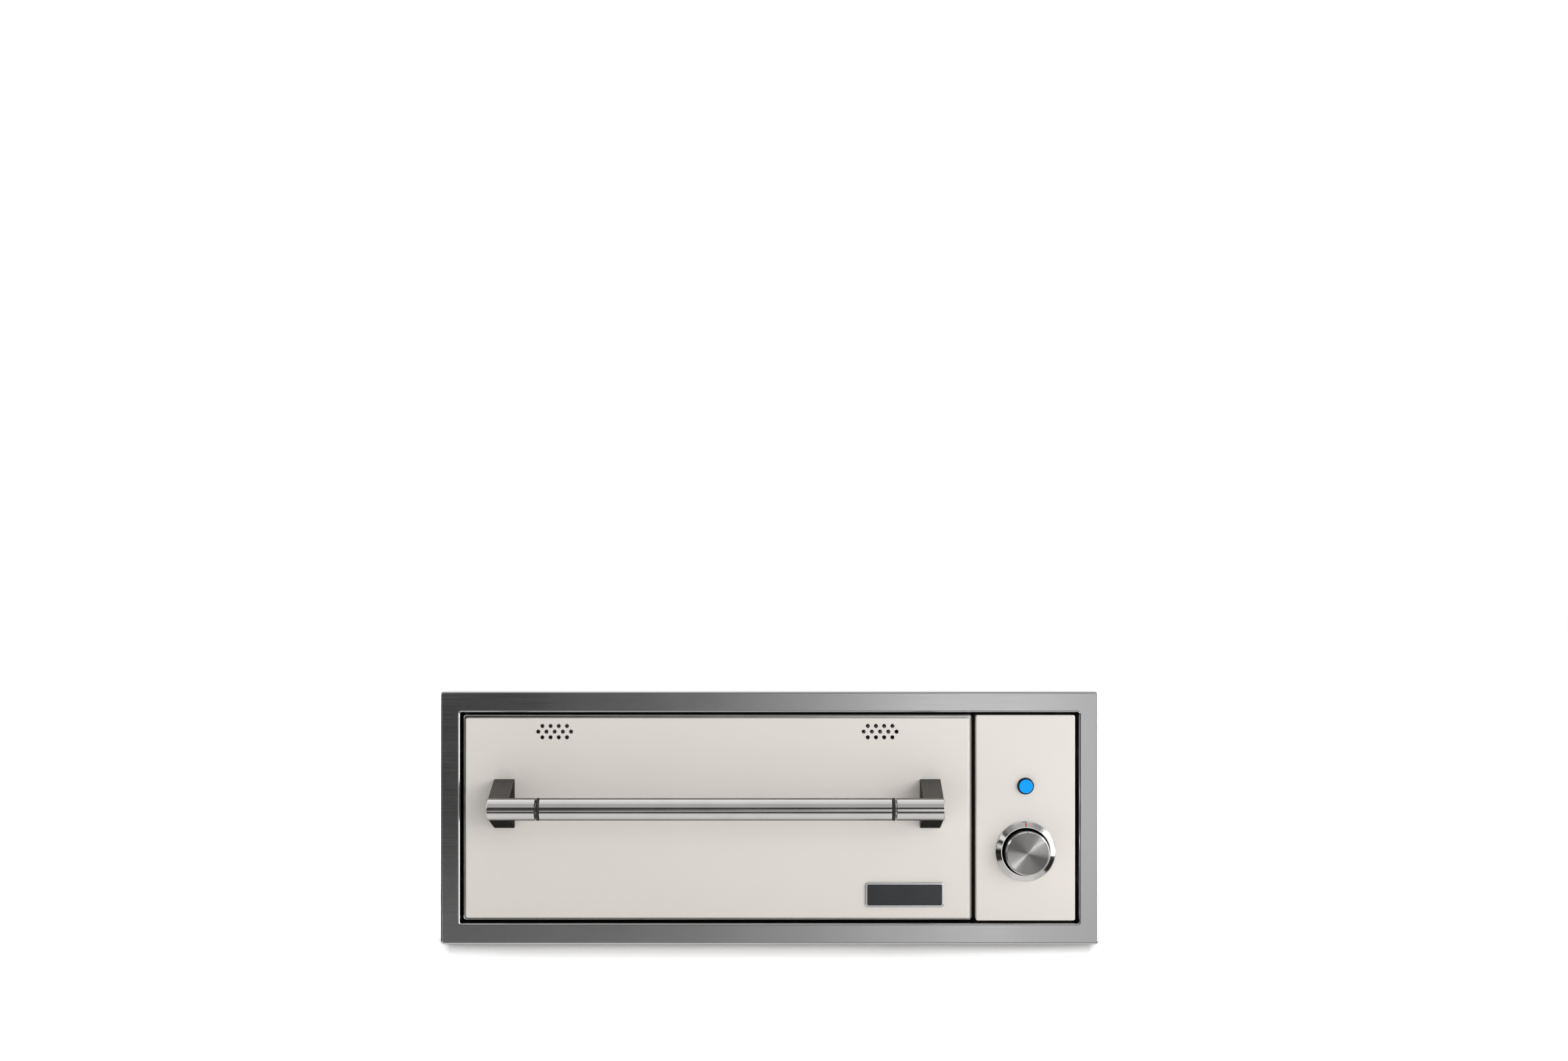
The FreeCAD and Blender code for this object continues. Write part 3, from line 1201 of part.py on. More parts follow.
def probe_clips():
    """Two clips that hold the bulb off the cavity wall."""
    bulb_x, bulb_y = bulb_place()
    clips = []
    for y in (bulb_y[0] + BULB_LENGTH / 4, bulb_y[1] - BULB_LENGTH / 4):
        span = (y - CLIP_WIDTH / 2, y + CLIP_WIDTH / 2)
        start = V(bulb_x, span[0], PROBE_Z)
        end = V(bulb_x, span[1], PROBE_Z)
        bore = BULB_RADIUS + RUN_GAP
        loop = rod(bore + CLIP_WALL, start, end)
        foot = block((bulb_x, CAVITY_X[1]), span, (PROBE_Z - CLIP_WALL, PROBE_Z + CLIP_WALL))
        clips.append(loop.fuse(foot).cut(rod(bore, start, end)).removeSplitter())
    return Part.makeCompound(clips)


def terminal_block_spans():
    """X, Y and Z spans of the terminal block on the compartment's floor."""
    width, length, height = TERMINAL_BLOCK
    back = CASING_BACK_IN - TERMINAL_BACK_GAP
    return (
        (CONTROL_X - width / 2, CONTROL_X + width / 2),
        (back - length, back),
        (CASING_IN_Z[0], CASING_IN_Z[0] + height),
    )


def terminal_block():
    """Three-way terminal block with a well over each clamp screw."""
    x, y, z = terminal_block_spans()
    body = block(x, y, z)
    wells = [
        rod(CLAMP_RADIUS, V(c, sum(y) / 2, z[1] - CLAMP_DEPTH), V(c, sum(y) / 2, z[1] + OVERCUT))
        for c in slot_centres(CONTROL_X, TERMINAL_BLOCK[0] / CLAMP_COUNT, CLAMP_COUNT)
    ]
    return body.cut(wells)


def wiring_harness():
    """Insulated leads between the terminal block, the switch, the thermostat and the element."""
    left, right = terminal_places()
    block_x, block_y, block_z = terminal_block_spans()
    lead_z = sum(block_z) / 2
    switch_y = FACE_Y + SWITCH_DEPTH + BLADE_LENGTH
    stat_y = FACE_Y + SHEET + THERMOSTAT_DEPTH + BLADE_LENGTH
    turn_y = FRAME_Y[1] + WIRE_TURN
    rise_y = turn_y + WIRE_STAGGER
    element_y = CAVITY_Y[1] + ELEMENT_OUTSIDE
    near_x = CONTROL_X - WIRE_SPREAD
    (blade_in, _), (blade_out, _) = switch_blades()
    (_, upper_z), (far_x, lower_z) = stat_blades()
    routes = [
        [(near_x, block_y[0], lead_z), (near_x, rise_y, lead_z), (near_x, rise_y, BUTTON_Z),
         (blade_in, rise_y, BUTTON_Z), (blade_in, switch_y, BUTTON_Z)],
        [(blade_out, switch_y, BUTTON_Z), (blade_out, turn_y, BUTTON_Z), (blade_out, turn_y, upper_z),
         (blade_out, stat_y, upper_z)],
        [(far_x, stat_y, lower_z), (far_x, WIRE_Y, lower_z), (right, WIRE_Y, lower_z),
         (right, WIRE_Y, ELEMENT_Z), (right, element_y, ELEMENT_Z)],
        [(far_x, block_y[1], lead_z), (far_x, WIRE_Y, lead_z), (left, WIRE_Y, lead_z),
         (left, WIRE_Y, ELEMENT_Z), (left, element_y, ELEMENT_Z)],
    ]
    leads = []
    for route in routes:
        points = [V(*p) for p in route]
        shortest = min((b - a).Length for a, b in zip(points, points[1:]))
        leads.append(bent_tube(points, WIRE_RADIUS, min(WIRE_BEND, RUN_SHARE * shortest)))
    return Part.makeCompound(leads)


def cable_gland():
    """Cord gland on the back: hexagon, domed nose and a threaded barrel, all with one bore."""
    outside = CASING_DEPTH
    hex_end = outside + GLAND_HEX_HEIGHT
    body = hexagon(GLAND_HEX, V(CONTROL_X, outside, GLAND_Z), V(CONTROL_X, hex_end, GLAND_Z))
    nose = Part.makeCone(
        GLAND_HEX - GLAND_STEP, GLAND_BORE + GLAND_NOSE_WALL, GLAND_DOME, V(CONTROL_X, hex_end, GLAND_Z), BACK
    )
    inside = CASING_BACK_IN - GLAND_INSIDE
    barrel = drill(GLAND_THREAD, CONTROL_X, GLAND_Z, (inside, outside))
    bore = drill(GLAND_BORE, CONTROL_X, GLAND_Z, (inside - OVERCUT, hex_end + GLAND_DOME + OVERCUT))
    return body.fuse([nose, barrel]).cut(bore).removeSplitter()


def gland_nut():
    """Lock nut on the gland's barrel inside the casing."""
    start = V(CONTROL_X, CASING_BACK_IN, GLAND_Z)
    end = V(CONTROL_X, CASING_BACK_IN - BUSHING_NUT_HEIGHT, GLAND_Z)
    return hexagon(GLAND_HEX, start, end).cut(rod(GLAND_THREAD + SHAFT_FIT, start, end))


def all_parts():
    """Every piece by its node's name."""
    parts = {
        "trim_frame": trim_frame(),
        "casing_wrap": casing_wrap(),
        "casing_top": casing_top(),
        "casing_back": casing_back(),
        "face_frame": face_frame(),
        "cavity_liner": cavity_liner(),
        "insulation_blanket": insulation_blanket(),
        "divider_wall": divider_wall(),
        "mouth_gasket": mouth_gasket(),
        "control_panel": control_panel(),
        "knob_bezel": knob_bezel(),
        "thermostat_body": thermostat_body(),
        "thermostat_nut": thermostat_nut(),
        "thermostat_probe": thermostat_probe(),
        "probe_clips": probe_clips(),
        "knob_body": knob_body(),
        "knob_cap": knob_cap(),
        "knob_shaft": knob_shaft(),
        "switch_body": switch_body(),
        "switch_nut": switch_nut(),
        "button_cap": button_cap(),
        "heating_element": heating_element(),
        "element_supports": element_supports(),
        "element_bushings": element_bushings(),
        "terminal_block": terminal_block(),
        "wiring_harness": wiring_harness(),
        "cable_gland": cable_gland(),
        "gland_nut": gland_nut(),
        "drawer_front_panel": drawer_front_panel(),
        "drawer_inner_front": drawer_inner_front(),
        "front_insulation": front_insulation(),
        "vent_guides": vent_guides(),
        "drawer_rear_rail": drawer_rear_rail(),
        "drawer_pan": drawer_pan(),
        "handle_bar": handle_bar(),
        "handle_rings": handle_rings(),
        "handle_screws": handle_screws(),
        "badge_frame": badge_frame(),
        "badge_inlay": badge_inlay(),
    }
    for side, x in zip(("left", "right"), vent_groups()):
        parts["vent_shutter_" + side] = vent_shutter(x)
    for side, (end, way) in handle_posts().items():
        parts["handle_bracket_" + side] = handle_bracket(end, way)
        parts["slide_outer_" + side] = slide_outer(side)
        parts["slide_middle_" + side] = slide_middle(side)
        parts["slide_inner_" + side] = slide_inner(side)
        parts["ball_cage_outer_" + side] = ball_cage(side, "outer")
        parts["ball_cage_inner_" + side] = ball_cage(side, "inner")
        parts["drawer_side_" + side] = drawer_side(side)
    return parts


def main():
    os.makedirs("parts", exist_ok=True)
    for name, shape in all_parts().items():
        good = shape.isValid() and all(s.isClosed() and s.Volume > 0 for s in shape.Solids)
        state = "ok" if good else "BAD"
        print(f"{name}: {len(shape.Solids)} solid(s), {shape.Volume / 1000:.2f} cm3, {state}")
        shape.exportStep(os.path.join("parts", name + ".step"))


main()
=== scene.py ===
import json
import math
import random

import bmesh
import bpy
from mathutils import Matrix, Vector
from mathutils.bvhtree import BVHTree


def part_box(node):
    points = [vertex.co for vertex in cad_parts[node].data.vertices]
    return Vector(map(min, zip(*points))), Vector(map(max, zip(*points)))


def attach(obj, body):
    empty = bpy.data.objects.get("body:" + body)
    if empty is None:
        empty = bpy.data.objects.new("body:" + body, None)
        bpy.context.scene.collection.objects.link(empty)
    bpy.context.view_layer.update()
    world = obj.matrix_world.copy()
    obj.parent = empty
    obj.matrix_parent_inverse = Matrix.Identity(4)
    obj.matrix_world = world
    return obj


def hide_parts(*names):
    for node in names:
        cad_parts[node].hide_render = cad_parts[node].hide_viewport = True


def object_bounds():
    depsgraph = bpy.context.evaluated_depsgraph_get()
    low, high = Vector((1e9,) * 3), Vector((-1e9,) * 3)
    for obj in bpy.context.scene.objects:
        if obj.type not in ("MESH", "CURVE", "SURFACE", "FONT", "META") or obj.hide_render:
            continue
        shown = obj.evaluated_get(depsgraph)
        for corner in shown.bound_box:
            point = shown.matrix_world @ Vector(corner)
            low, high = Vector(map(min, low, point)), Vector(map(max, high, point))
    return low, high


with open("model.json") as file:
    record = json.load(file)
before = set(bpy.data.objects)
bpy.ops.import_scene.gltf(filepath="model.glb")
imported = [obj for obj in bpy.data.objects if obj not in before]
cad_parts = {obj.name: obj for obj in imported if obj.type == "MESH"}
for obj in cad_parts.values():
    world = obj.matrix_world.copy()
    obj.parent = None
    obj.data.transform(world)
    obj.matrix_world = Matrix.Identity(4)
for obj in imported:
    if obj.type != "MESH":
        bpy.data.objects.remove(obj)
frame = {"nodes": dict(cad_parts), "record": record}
CAD_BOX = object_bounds()
NODES = frame["nodes"]
SLOT_OF = {part["node"]: part["material_slot"] for part in frame["record"]["subparts"]}
MM = 0.001

# Places read from the frame
TRIM_LOW, TRIM_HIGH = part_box("trim_frame")
CASING_LOW, CASING_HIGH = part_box("casing_back")
KNOB_LOW, KNOB_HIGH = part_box("knob_body")
BAR_LOW, BAR_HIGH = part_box("handle_bar")
KNOB_AXIS = (KNOB_LOW + KNOB_HIGH) / 2
BAR_AXIS = (BAR_LOW + BAR_HIGH) / 2
BAR_RADIUS = (BAR_HIGH.z - BAR_LOW.z) / 2
BEZEL_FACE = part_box("knob_bezel")[0].y
BUTTON_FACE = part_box("button_cap")[0].y
TRIM_FACE = TRIM_LOW.y
PART_BACK = CAD_BOX[1][1]
FLOOR_Z = CAD_BOX[0][2]

# Most values of a noise lie between these
NOISE_LOW, NOISE_HIGH = 0.3, 0.7


# Node trees

def add(tree, kind, inputs=None, **settings):
    """A node with its settings, and its inputs set to values or linked to sockets."""
    node = tree.nodes.new(kind)
    for name, value in settings.items():
        setattr(node, name, value)
    for name, value in (inputs or {}).items():
        if isinstance(value, bpy.types.NodeSocket):
            tree.links.new(value, node.inputs[name])
        else:
            node.inputs[name].default_value = value
    return node


def math_node(tree, operation, first, second=0.0):
    """The result of a sum on one or two values."""
    return add(tree, "ShaderNodeMath", {0: first, 1: second}, operation=operation).outputs[0]


def vector_node(tree, operation, first, second=(0, 0, 0)):
    """The result of a sum on one or two vectors."""
    node = add(tree, "ShaderNodeVectorMath", {0: first, 1: second}, operation=operation)
    return node.outputs["Value" if operation in ("LENGTH", "DISTANCE") else "Vector"]


def place(tree):
    """Coordinates that stay with the piece, in metres."""
    return add(tree, "ShaderNodeTexCoord").outputs["Object"]


def from_axis(tree, axis, plane):
    """The way from an axis to the place, flattened into the plane across that axis."""
    return vector_node(tree, "MULTIPLY", vector_node(tree, "SUBTRACT", place(tree), axis), plane)


def noise(tree, scale, detail=3.0, rough=0.55, distortion=0.0):
    """Soft noise from 0 to 1, with one scale or a scale for each axis."""
    scales = scale if isinstance(scale, tuple) else (scale, scale, scale)
    mapped = add(tree, "ShaderNodeMapping", {"Vector": place(tree), "Scale": scales}).outputs[0]
    return add(
        tree, "ShaderNodeTexNoise",
        {"Vector": mapped, "Scale": 1.0, "Detail": detail, "Roughness": rough, "Distortion": distortion},
    ).outputs["Fac"]


def spread(tree, value, low, high, start=0.0, end=1.0):
    """A value taken from one range to another, held at the ends."""
    return add(
        tree, "ShaderNodeMapRange",
        {"Value": value, "From Min": start, "From Max": end, "To Min": low, "To Max": high},
    ).outputs[0]


def ramp(tree, value, stops):
    """Grey or colour stops along a value."""
    node = add(tree, "ShaderNodeValToRGB", {"Fac": value})
    elements = node.color_ramp.elements
    elements[0].position = 0.0
    elements[1].position = 1.0
    while len(elements) < len(stops):
        elements.new(0.5)
    for element, (position, colour) in zip(elements, stops):
        element.position = position
        element.color = (*colour, 1) if isinstance(colour, tuple) else (colour, colour, colour, 1)
    return node.outputs["Color"]


def mix(tree, factor, first, second):
    """A mix of two values."""
    return add(tree, "ShaderNodeMix", {0: factor, 2: first, 3: second}).outputs[0]


def blend(tree, factor, first, second):
    """A mix of two colours."""
    node = add(tree, "ShaderNodeMix", data_type="RGBA")
    for socket, value in ((node.inputs[0], factor), (node.inputs[6], first), (node.inputs[7], second)):
        if isinstance(value, bpy.types.NodeSocket):
            tree.links.new(value, socket)
        else:
            socket.default_value = value if isinstance(value, float) else (*value, 1)
    return node.outputs[2]


def brighter(tree, colour, times):
    """A colour multiplied by a number."""
    return add(
        tree, "ShaderNodeMix", {0: 1.0, 6: colour, 7: (times, times, times, 1.0)},
        data_type="RGBA", blend_type="MULTIPLY",
    ).outputs[2]


def bump(tree, height, strength, distance):
    """A surface normal from a height."""
    return add(
        tree, "ShaderNodeBump", {"Height": height, "Strength": strength, "Distance": distance}
    ).outputs[0]


def tones(tree, value, colour, change):
    """A colour that varies a little, darker and lighter, with a noise."""
    dark = tuple(c * (1 - change) for c in colour)
    light = tuple(min(1.0, c * (1 + change)) for c in colour)
    return ramp(tree, value, [(NOISE_LOW, dark), (NOISE_HIGH, light)])


def roughness(tree, value, low, high):
    """A roughness that varies with a noise."""
    return spread(tree, value, low, high, NOISE_LOW, NOISE_HIGH)


def material(name, **values):
    """A material with one main shader, and that shader with its plain values set."""
    made = bpy.data.materials.new(name)
    made.use_nodes = True
    tree = made.node_tree
    tree.nodes.clear()
    shader = tree.nodes.new("ShaderNodeBsdfPrincipled")
    output = tree.nodes.new("ShaderNodeOutputMaterial")
    tree.links.new(shader.outputs[0], output.inputs[0])
    for socket, value in values.items():
        shader.inputs[socket.replace("_", " ")].default_value = value
    return made, tree, shader


def drive(tree, shader, **sockets):
    """Links outputs to the shader's inputs."""
    for name, output in sockets.items():
        tree.links.new(output, shader.inputs[name.replace("_", " ")])


# Metals

# Scales of marks that run along the part's width: long that way and fine across
BRUSH_STREAKS = (9.0, 1600.0, 1600.0)
HAIRLINES = (14.0, 2200.0, 2200.0)
SMEARS = (24.0, 40.0, 40.0)
GRAIN_DEPTH = 0.05 * MM


def brushed(tree, share, patch_scale, patch_detail):
    """Fine brush streaks, and a tone that they share with broad soft patches."""
    streaks = noise(tree, BRUSH_STREAKS, detail=4.0)
    patches = noise(tree, patch_scale, detail=patch_detail)
    streaks_part = math_node(tree, "MULTIPLY", streaks, share)
    patches_part = math_node(tree, "MULTIPLY", patches, 1 - share)
    return streaks, math_node(tree, "ADD", streaks_part, patches_part)


def brushed_steel(name, colour, rough, change):
    """Sheet steel brushed along the part's width."""
    made, tree, shader = material(name, Metallic=1.0)
    streaks, tone = brushed(tree, share=0.65, patch_scale=7.0, patch_detail=2.0)
    drive(
        tree, shader,
        Base_Color=tones(tree, tone, colour, change),
        Roughness=roughness(tree, tone, rough - 0.06, rough + 0.08),
        Normal=bump(tree, streaks, 0.06, GRAIN_DEPTH),
    )
    return made


def trim_steel():
    """Trim cut from one sheet, so that its brushing runs the same way on all four sides."""
    made, tree, shader = material("trim_steel", Metallic=1.0, Anisotropic=0.15)
    streaks, tone = brushed(tree, share=0.5, patch_scale=9.0, patch_detail=3.0)
    across_grain = add(tree, "ShaderNodeCombineXYZ", {"Z": 1.0}).outputs[0]
    drive(
        tree, shader,
        Base_Color=tones(tree, tone, (0.60, 0.60, 0.60), 0.05),
        Roughness=roughness(tree, tone, 0.13, 0.21),
        Normal=bump(tree, streaks, 0.02, GRAIN_DEPTH),
        Tangent=across_grain,
    )
    return made


def polish(tree, colour, rough):
    """Colour, roughness and normal of bright polished steel with faint hairlines and handling marks."""
    hairlines = noise(tree, HAIRLINES)
    smears = noise(tree, SMEARS, detail=4.0, distortion=0.6)
    return (
        tones(tree, smears, colour, 0.04),
        spread(tree, smears, rough, rough + 0.07, 0.35, 0.75),
        bump(tree, hairlines, 0.025, 0.03 * MM),
    )


def polished_steel(name, colour, rough):
    """Bright polished steel."""
    made, tree, shader = material(name, Metallic=1.0)
    bright, gloss, normal = polish(tree, colour, rough)
    drive(tree, shader, Base_Color=bright, Roughness=gloss, Normal=normal)
    return made


# The posts' satin, darkened with painted shade, starts this far outside the bar's and the sleeves' radius
SATIN_AND_SHADE_START = 0.2 * MM
SATIN_AND_SHADE_FULL = 0.6 * MM


def handle_steel():
    """Polished bar and sleeves, and satin posts whose darker tone is painted shade. A near-black edge tint
    paints dark rims: the metal reflects less at grazing angles.
    """
    made, tree, shader = material("handle_steel", Metallic=1.0, Specular_Tint=(0.02, 0.02, 0.02, 1))
    radius = vector_node(tree, "LENGTH", from_axis(tree, (0, BAR_AXIS.y, BAR_AXIS.z), (0, 1, 1)))
    post_satin_and_shade = spread(tree, radius, 0.0, 1.0, BAR_RADIUS + SATIN_AND_SHADE_START, BAR_RADIUS + SATIN_AND_SHADE_FULL)
    bright, gloss, normal = polish(tree, (0.70, 0.69, 0.68), 0.10)
    satin = noise(tree, 900.0)
    drive(
        tree, shader,
        # The posts' darker base colour is painted shade standing in for the dark reflections they show; their
        # satin roughness is real
        Base_Color=blend(tree, post_satin_and_shade, bright, tones(tree, satin, (0.28, 0.277, 0.275), 0.08)),
        Roughness=mix(tree, post_satin_and_shade, gloss, roughness(tree, satin, 0.24, 0.34)),
        Normal=normal,
    )
    return made


def around_knob(tree):
    """Distance from the knob's axis and the way out from it, both in the plane of its face."""
    flat = from_axis(tree, (KNOB_AXIS.x, 0, KNOB_AXIS.z), (1, 0, 1))
    return vector_node(tree, "LENGTH", flat), vector_node(tree, "NORMALIZE", flat)


# Inside this radius the bezel's recess is painted near-black as shade
BEZEL_RECESS = 27.9 * MM
RECESS_EDGE = 0.1 * MM


def bezel_chrome():
    """Polished bezel, with the recess round the knob painted near-black as shade."""
    made, tree, shader = material("bezel_chrome", Metallic=1.0)
    bright, gloss, normal = polish(tree, (0.72, 0.71, 0.70), 0.09)
    radius, _ = around_knob(tree)
    painted_recess_shade = spread(tree, radius, 1.0, 0.0, BEZEL_RECESS, BEZEL_RECESS + RECESS_EDGE)
    drive(
        tree, shader,
        # Painted shade: the recess is coloured near-black
        Base_Color=blend(tree, painted_recess_shade, bright, (0.008, 0.008, 0.008)),
        Roughness=mix(tree, painted_recess_shade, gloss, 0.5),
        Normal=normal,
    )
    return made


RINGS_PER_METRE = 5200.0


def spun_steel(name, colour, rough, anisotropic):
    """Steel with fine turned rings. Its fan-shaped highlights stay put as the knob turns."""
    made, tree, shader = material(name, Metallic=1.0, Anisotropic=anisotropic)
    radius, way = around_knob(tree)
    rings = add(
        tree, "ShaderNodeTexNoise",
        {"W": math_node(tree, "MULTIPLY", radius, RINGS_PER_METRE), "Scale": 1.0, "Detail": 3.0},
        noise_dimensions="1D",
    ).outputs["Fac"]
    outward = add(
        tree, "ShaderNodeVectorTransform", {0: way},
        vector_type="VECTOR", convert_from="OBJECT", convert_to="WORLD",
    ).outputs[0]
    drive(
        tree, shader,
        Base_Color=tones(tree, rings, colour, 0.10),
        Roughness=roughness(tree, rings, rough - 0.05, rough + 0.07),
        Normal=bump(tree, rings, 0.08, 0.04 * MM),
        Tangent=outward,
    )
    return made


SPANGLES_PER_METRE = 140.0
SPANGLE_WARP = 4 * MM


def galvanised_steel():
    """Zinc-coated sheet with its crystal spangle and a few dull patches."""
    made, tree, shader = material("casing_steel", Metallic=1.0)
    warp = math_node(tree, "MULTIPLY", noise(tree, 60.0, detail=2.0), SPANGLE_WARP)
    shift = add(tree, "ShaderNodeCombineXYZ", {"X": warp, "Y": warp, "Z": warp}).outputs[0]
    bent_place = vector_node(tree, "ADD", place(tree), shift)
    spangle = add(tree, "ShaderNodeTexVoronoi", {"Vector": bent_place, "Scale": SPANGLES_PER_METRE})
    crystal = add(tree, "ShaderNodeSeparateColor", {0: spangle.outputs["Color"]}).outputs[0]
    dull = noise(tree, 9.0, detail=4.0)
    drive(
        tree, shader,
        Base_Color=tones(tree, spread(tree, crystal, NOISE_LOW, NOISE_HIGH), (0.56, 0.57, 0.585), 0.06),
        Roughness=spread(tree, math_node(tree, "ADD", crystal, dull), 0.42, 0.48, 0.4, 1.5),
        Normal=bump(tree, noise(tree, 500.0), 0.08, GRAIN_DEPTH),
    )
    return made


def dark_sheath():
    """Heating element's sheath: dark oxide with straw and blue heat tints."""
    made, tree, shader = material("element_sheath", Metallic=0.9)
    heat = noise(tree, 16.0, detail=4.0)
    tint = ramp(tree, heat, [
        (0.30, (0.10, 0.09, 0.085)), (0.52, (0.17, 0.14, 0.11)), (0.70, (0.11, 0.115, 0.14)),
    ])
    drive(
        tree, shader,
        Base_Color=tint,
        Roughness=roughness(tree, heat, 0.42, 0.62),
        Normal=bump(tree, noise(tree, 900.0), 0.10, GRAIN_DEPTH),
    )
    return made


# Paint, plastics and the rest

def cream_paint():
    """Smooth baked enamel: faint orange peel, and a tone that drifts very slightly."""
    made, tree, shader = material("cream_paint", Coat_Weight=0.35, Coat_Roughness=0.10, IOR=1.5)
    drift = noise(tree, 5.0, detail=2.0)
    peel = noise(tree, 420.0, detail=1.0)
    drive(
        tree, shader,
        Base_Color=tones(tree, drift, (0.700, 0.664, 0.619), 0.012),
        Roughness=roughness(tree, peel, 0.30, 0.38),
        Normal=bump(tree, peel, 0.05, 0.06 * MM),
    )
    return made


def fine_grained(name, colour, rough, grain=1400.0, change=0.10, height=0.12, **values):
    """Plastic, rubber, ceramic or plain metal with a fine even grain."""
    made, tree, shader = material(name, **values)
    fine = noise(tree, grain, detail=2.0)
    broad = noise(tree, 35.0)
    drive(
        tree, shader,
        Base_Color=tones(tree, broad, colour, change),
        Roughness=roughness(tree, fine, rough - 0.06, rough + 0.08),
        Normal=bump(tree, fine, height, GRAIN_DEPTH),
    )
    return made


# Depth from the button's face at which its glow has gone, and how far cloudiness moves that
GLOW_DEPTH = 1.4 * MM
GLOW_CLOUD = 0.15 * MM


def lit_button():
    """Translucent blue cap, lit from behind: bright on its flat face, deep blue down its side."""
    made, tree, shader = material(
        "button_blue", Roughness=0.22, Specular_IOR_Level=0.05, Coat_Weight=0.2, Coat_Roughness=0.04,
        Emission_Strength=0.35,
    )
    along_y = add(tree, "ShaderNodeSeparateXYZ", {0: place(tree)}).outputs["Y"]
    depth = math_node(tree, "SUBTRACT", along_y, BUTTON_FACE)
    cloud = noise(tree, 160.0, detail=2.0)
    edge = math_node(tree, "ADD", depth, math_node(tree, "MULTIPLY", cloud, GLOW_CLOUD))
    glow = ramp(tree, spread(tree, edge, 0.0, 1.0, 0.0, GLOW_DEPTH), [
        (0.0, (0.0, 0.25, 0.80)), (0.35, (0.0, 0.22, 0.78)),
        (0.75, (0.002, 0.012, 0.10)), (1.0, (0.001, 0.004, 0.03)),
    ])
    drive(tree, shader, Base_Color=glow, Emission_Color=glow)
    return made


def mineral_wool():
    """Pale yellow fibres in tangled layers."""
    made, tree, shader = material("wool", Sheen_Weight=0.4)
    fibres = noise(tree, (900.0, 900.0, 260.0), detail=6.0, rough=0.7, distortion=1.5)
    clumps = noise(tree, 45.0, detail=4.0)
    both = math_node(tree, "MULTIPLY", math_node(tree, "ADD", fibres, clumps), 0.5)
    drive(
        tree, shader,
        Base_Color=tones(tree, both, (0.62, 0.53, 0.34), 0.22),
        Roughness=spread(tree, fibres, 0.85, 1.0),
        Normal=bump(tree, both, 0.6, 0.8 * MM),
    )
    return made


FINE_GRAINED = {
    # The face frame behind the drawer's gap is painted near-black as shade, so the gap reads as deep shadow
    "frame_black": dict(colour=(0.010, 0.010, 0.010), rough=0.45, grain=700.0, height=0.04),
    "slide_steel": dict(
        colour=(0.54, 0.55, 0.57), rough=0.34, grain=500.0, change=0.08, height=0.04, Metallic=1.0
    ),
    "black_rubber": dict(colour=(0.012, 0.012, 0.012), rough=0.55),
    "seal_silicone": dict(colour=(0.035, 0.035, 0.037), rough=0.60),
    "badge_black": dict(
        colour=(0.010, 0.011, 0.013), rough=0.22, grain=900.0, change=0.15, height=0.03, Coat_Weight=0.5
    ),
    "plain_steel": dict(colour=(0.50, 0.50, 0.50), rough=0.34, grain=700.0, height=0.05, Metallic=1.0),
    "thermostat_case": dict(
        colour=(0.42, 0.42, 0.41), rough=0.40, grain=600.0, change=0.08, height=0.05, Metallic=0.9
    ),
    "probe_copper": dict(
        colour=(0.72, 0.36, 0.22), rough=0.28, grain=600.0, change=0.14, height=0.05, Metallic=1.0
    ),
    "switch_black": dict(colour=(0.012, 0.012, 0.015), rough=0.35),
    "white_ceramic": dict(colour=(0.80, 0.78, 0.72), rough=0.45, grain=700.0, change=0.05),
    "lead_sleeve": dict(colour=(0.66, 0.62, 0.56), rough=0.62, grain=1800.0, change=0.08, height=0.25),
    "gland_black": dict(colour=(0.018, 0.018, 0.018), rough=0.42),
    "mark_red": dict(colour=(0.55, 0.008, 0.010), rough=0.30, grain=900.0, change=0.08, height=0.03),
    "mark_black": dict(colour=(0.008, 0.008, 0.008), rough=0.35, grain=900.0, height=0.03),
}

MATERIALS = {name: fine_grained(name, **look) for name, look in FINE_GRAINED.items()}
MATERIALS.update({
    "trim_steel": trim_steel(),
    "casing_steel": galvanised_steel(),
    "cavity_steel": brushed_steel("cavity_steel", (0.60, 0.60, 0.59), rough=0.30, change=0.07),
    "front_steel": polished_steel("front_steel", (0.66, 0.66, 0.65), rough=0.12),
    "pan_steel": brushed_steel("pan_steel", (0.66, 0.66, 0.65), rough=0.26, change=0.06),
    "cream_paint": cream_paint(),
    "handle_steel": handle_steel(),
    "badge_rim": polished_steel("badge_rim", (0.66, 0.67, 0.68), rough=0.12),
    "bezel_chrome": bezel_chrome(),
    "knob_metal": spun_steel("knob_metal", (0.62, 0.61, 0.60), rough=0.26, anisotropic=0.4),
    "knob_face": spun_steel("knob_face", (0.62, 0.61, 0.60), rough=0.48, anisotropic=1.0),
    "button_blue": lit_button(),
    "element_sheath": dark_sheath(),
    "wool": mineral_wool(),
})

for node_name, node_object in NODES.items():
    node_object.data.materials.clear()
    node_object.data.materials.append(MATERIALS[SLOT_OF[node_name]])


# Small pieces that the CAD leaves out

SHARP_ANGLE = math.radians(35)


def keep(name, bm, body, slot):
    """A finished mesh as a piece that rides a body and has the finish of its slot."""
    bmesh.ops.recalc_face_normals(bm, faces=bm.faces)
    mesh = bpy.data.meshes.new(name)
    bm.to_mesh(mesh)
    bm.free()
    mesh.shade_smooth()
    mesh.set_sharp_from_angle(angle=SHARP_ANGLE)
    mesh.materials.append(MATERIALS[slot])
    piece = bpy.data.objects.new(name, mesh)
    bpy.context.scene.collection.objects.link(piece)
    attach(piece, body)


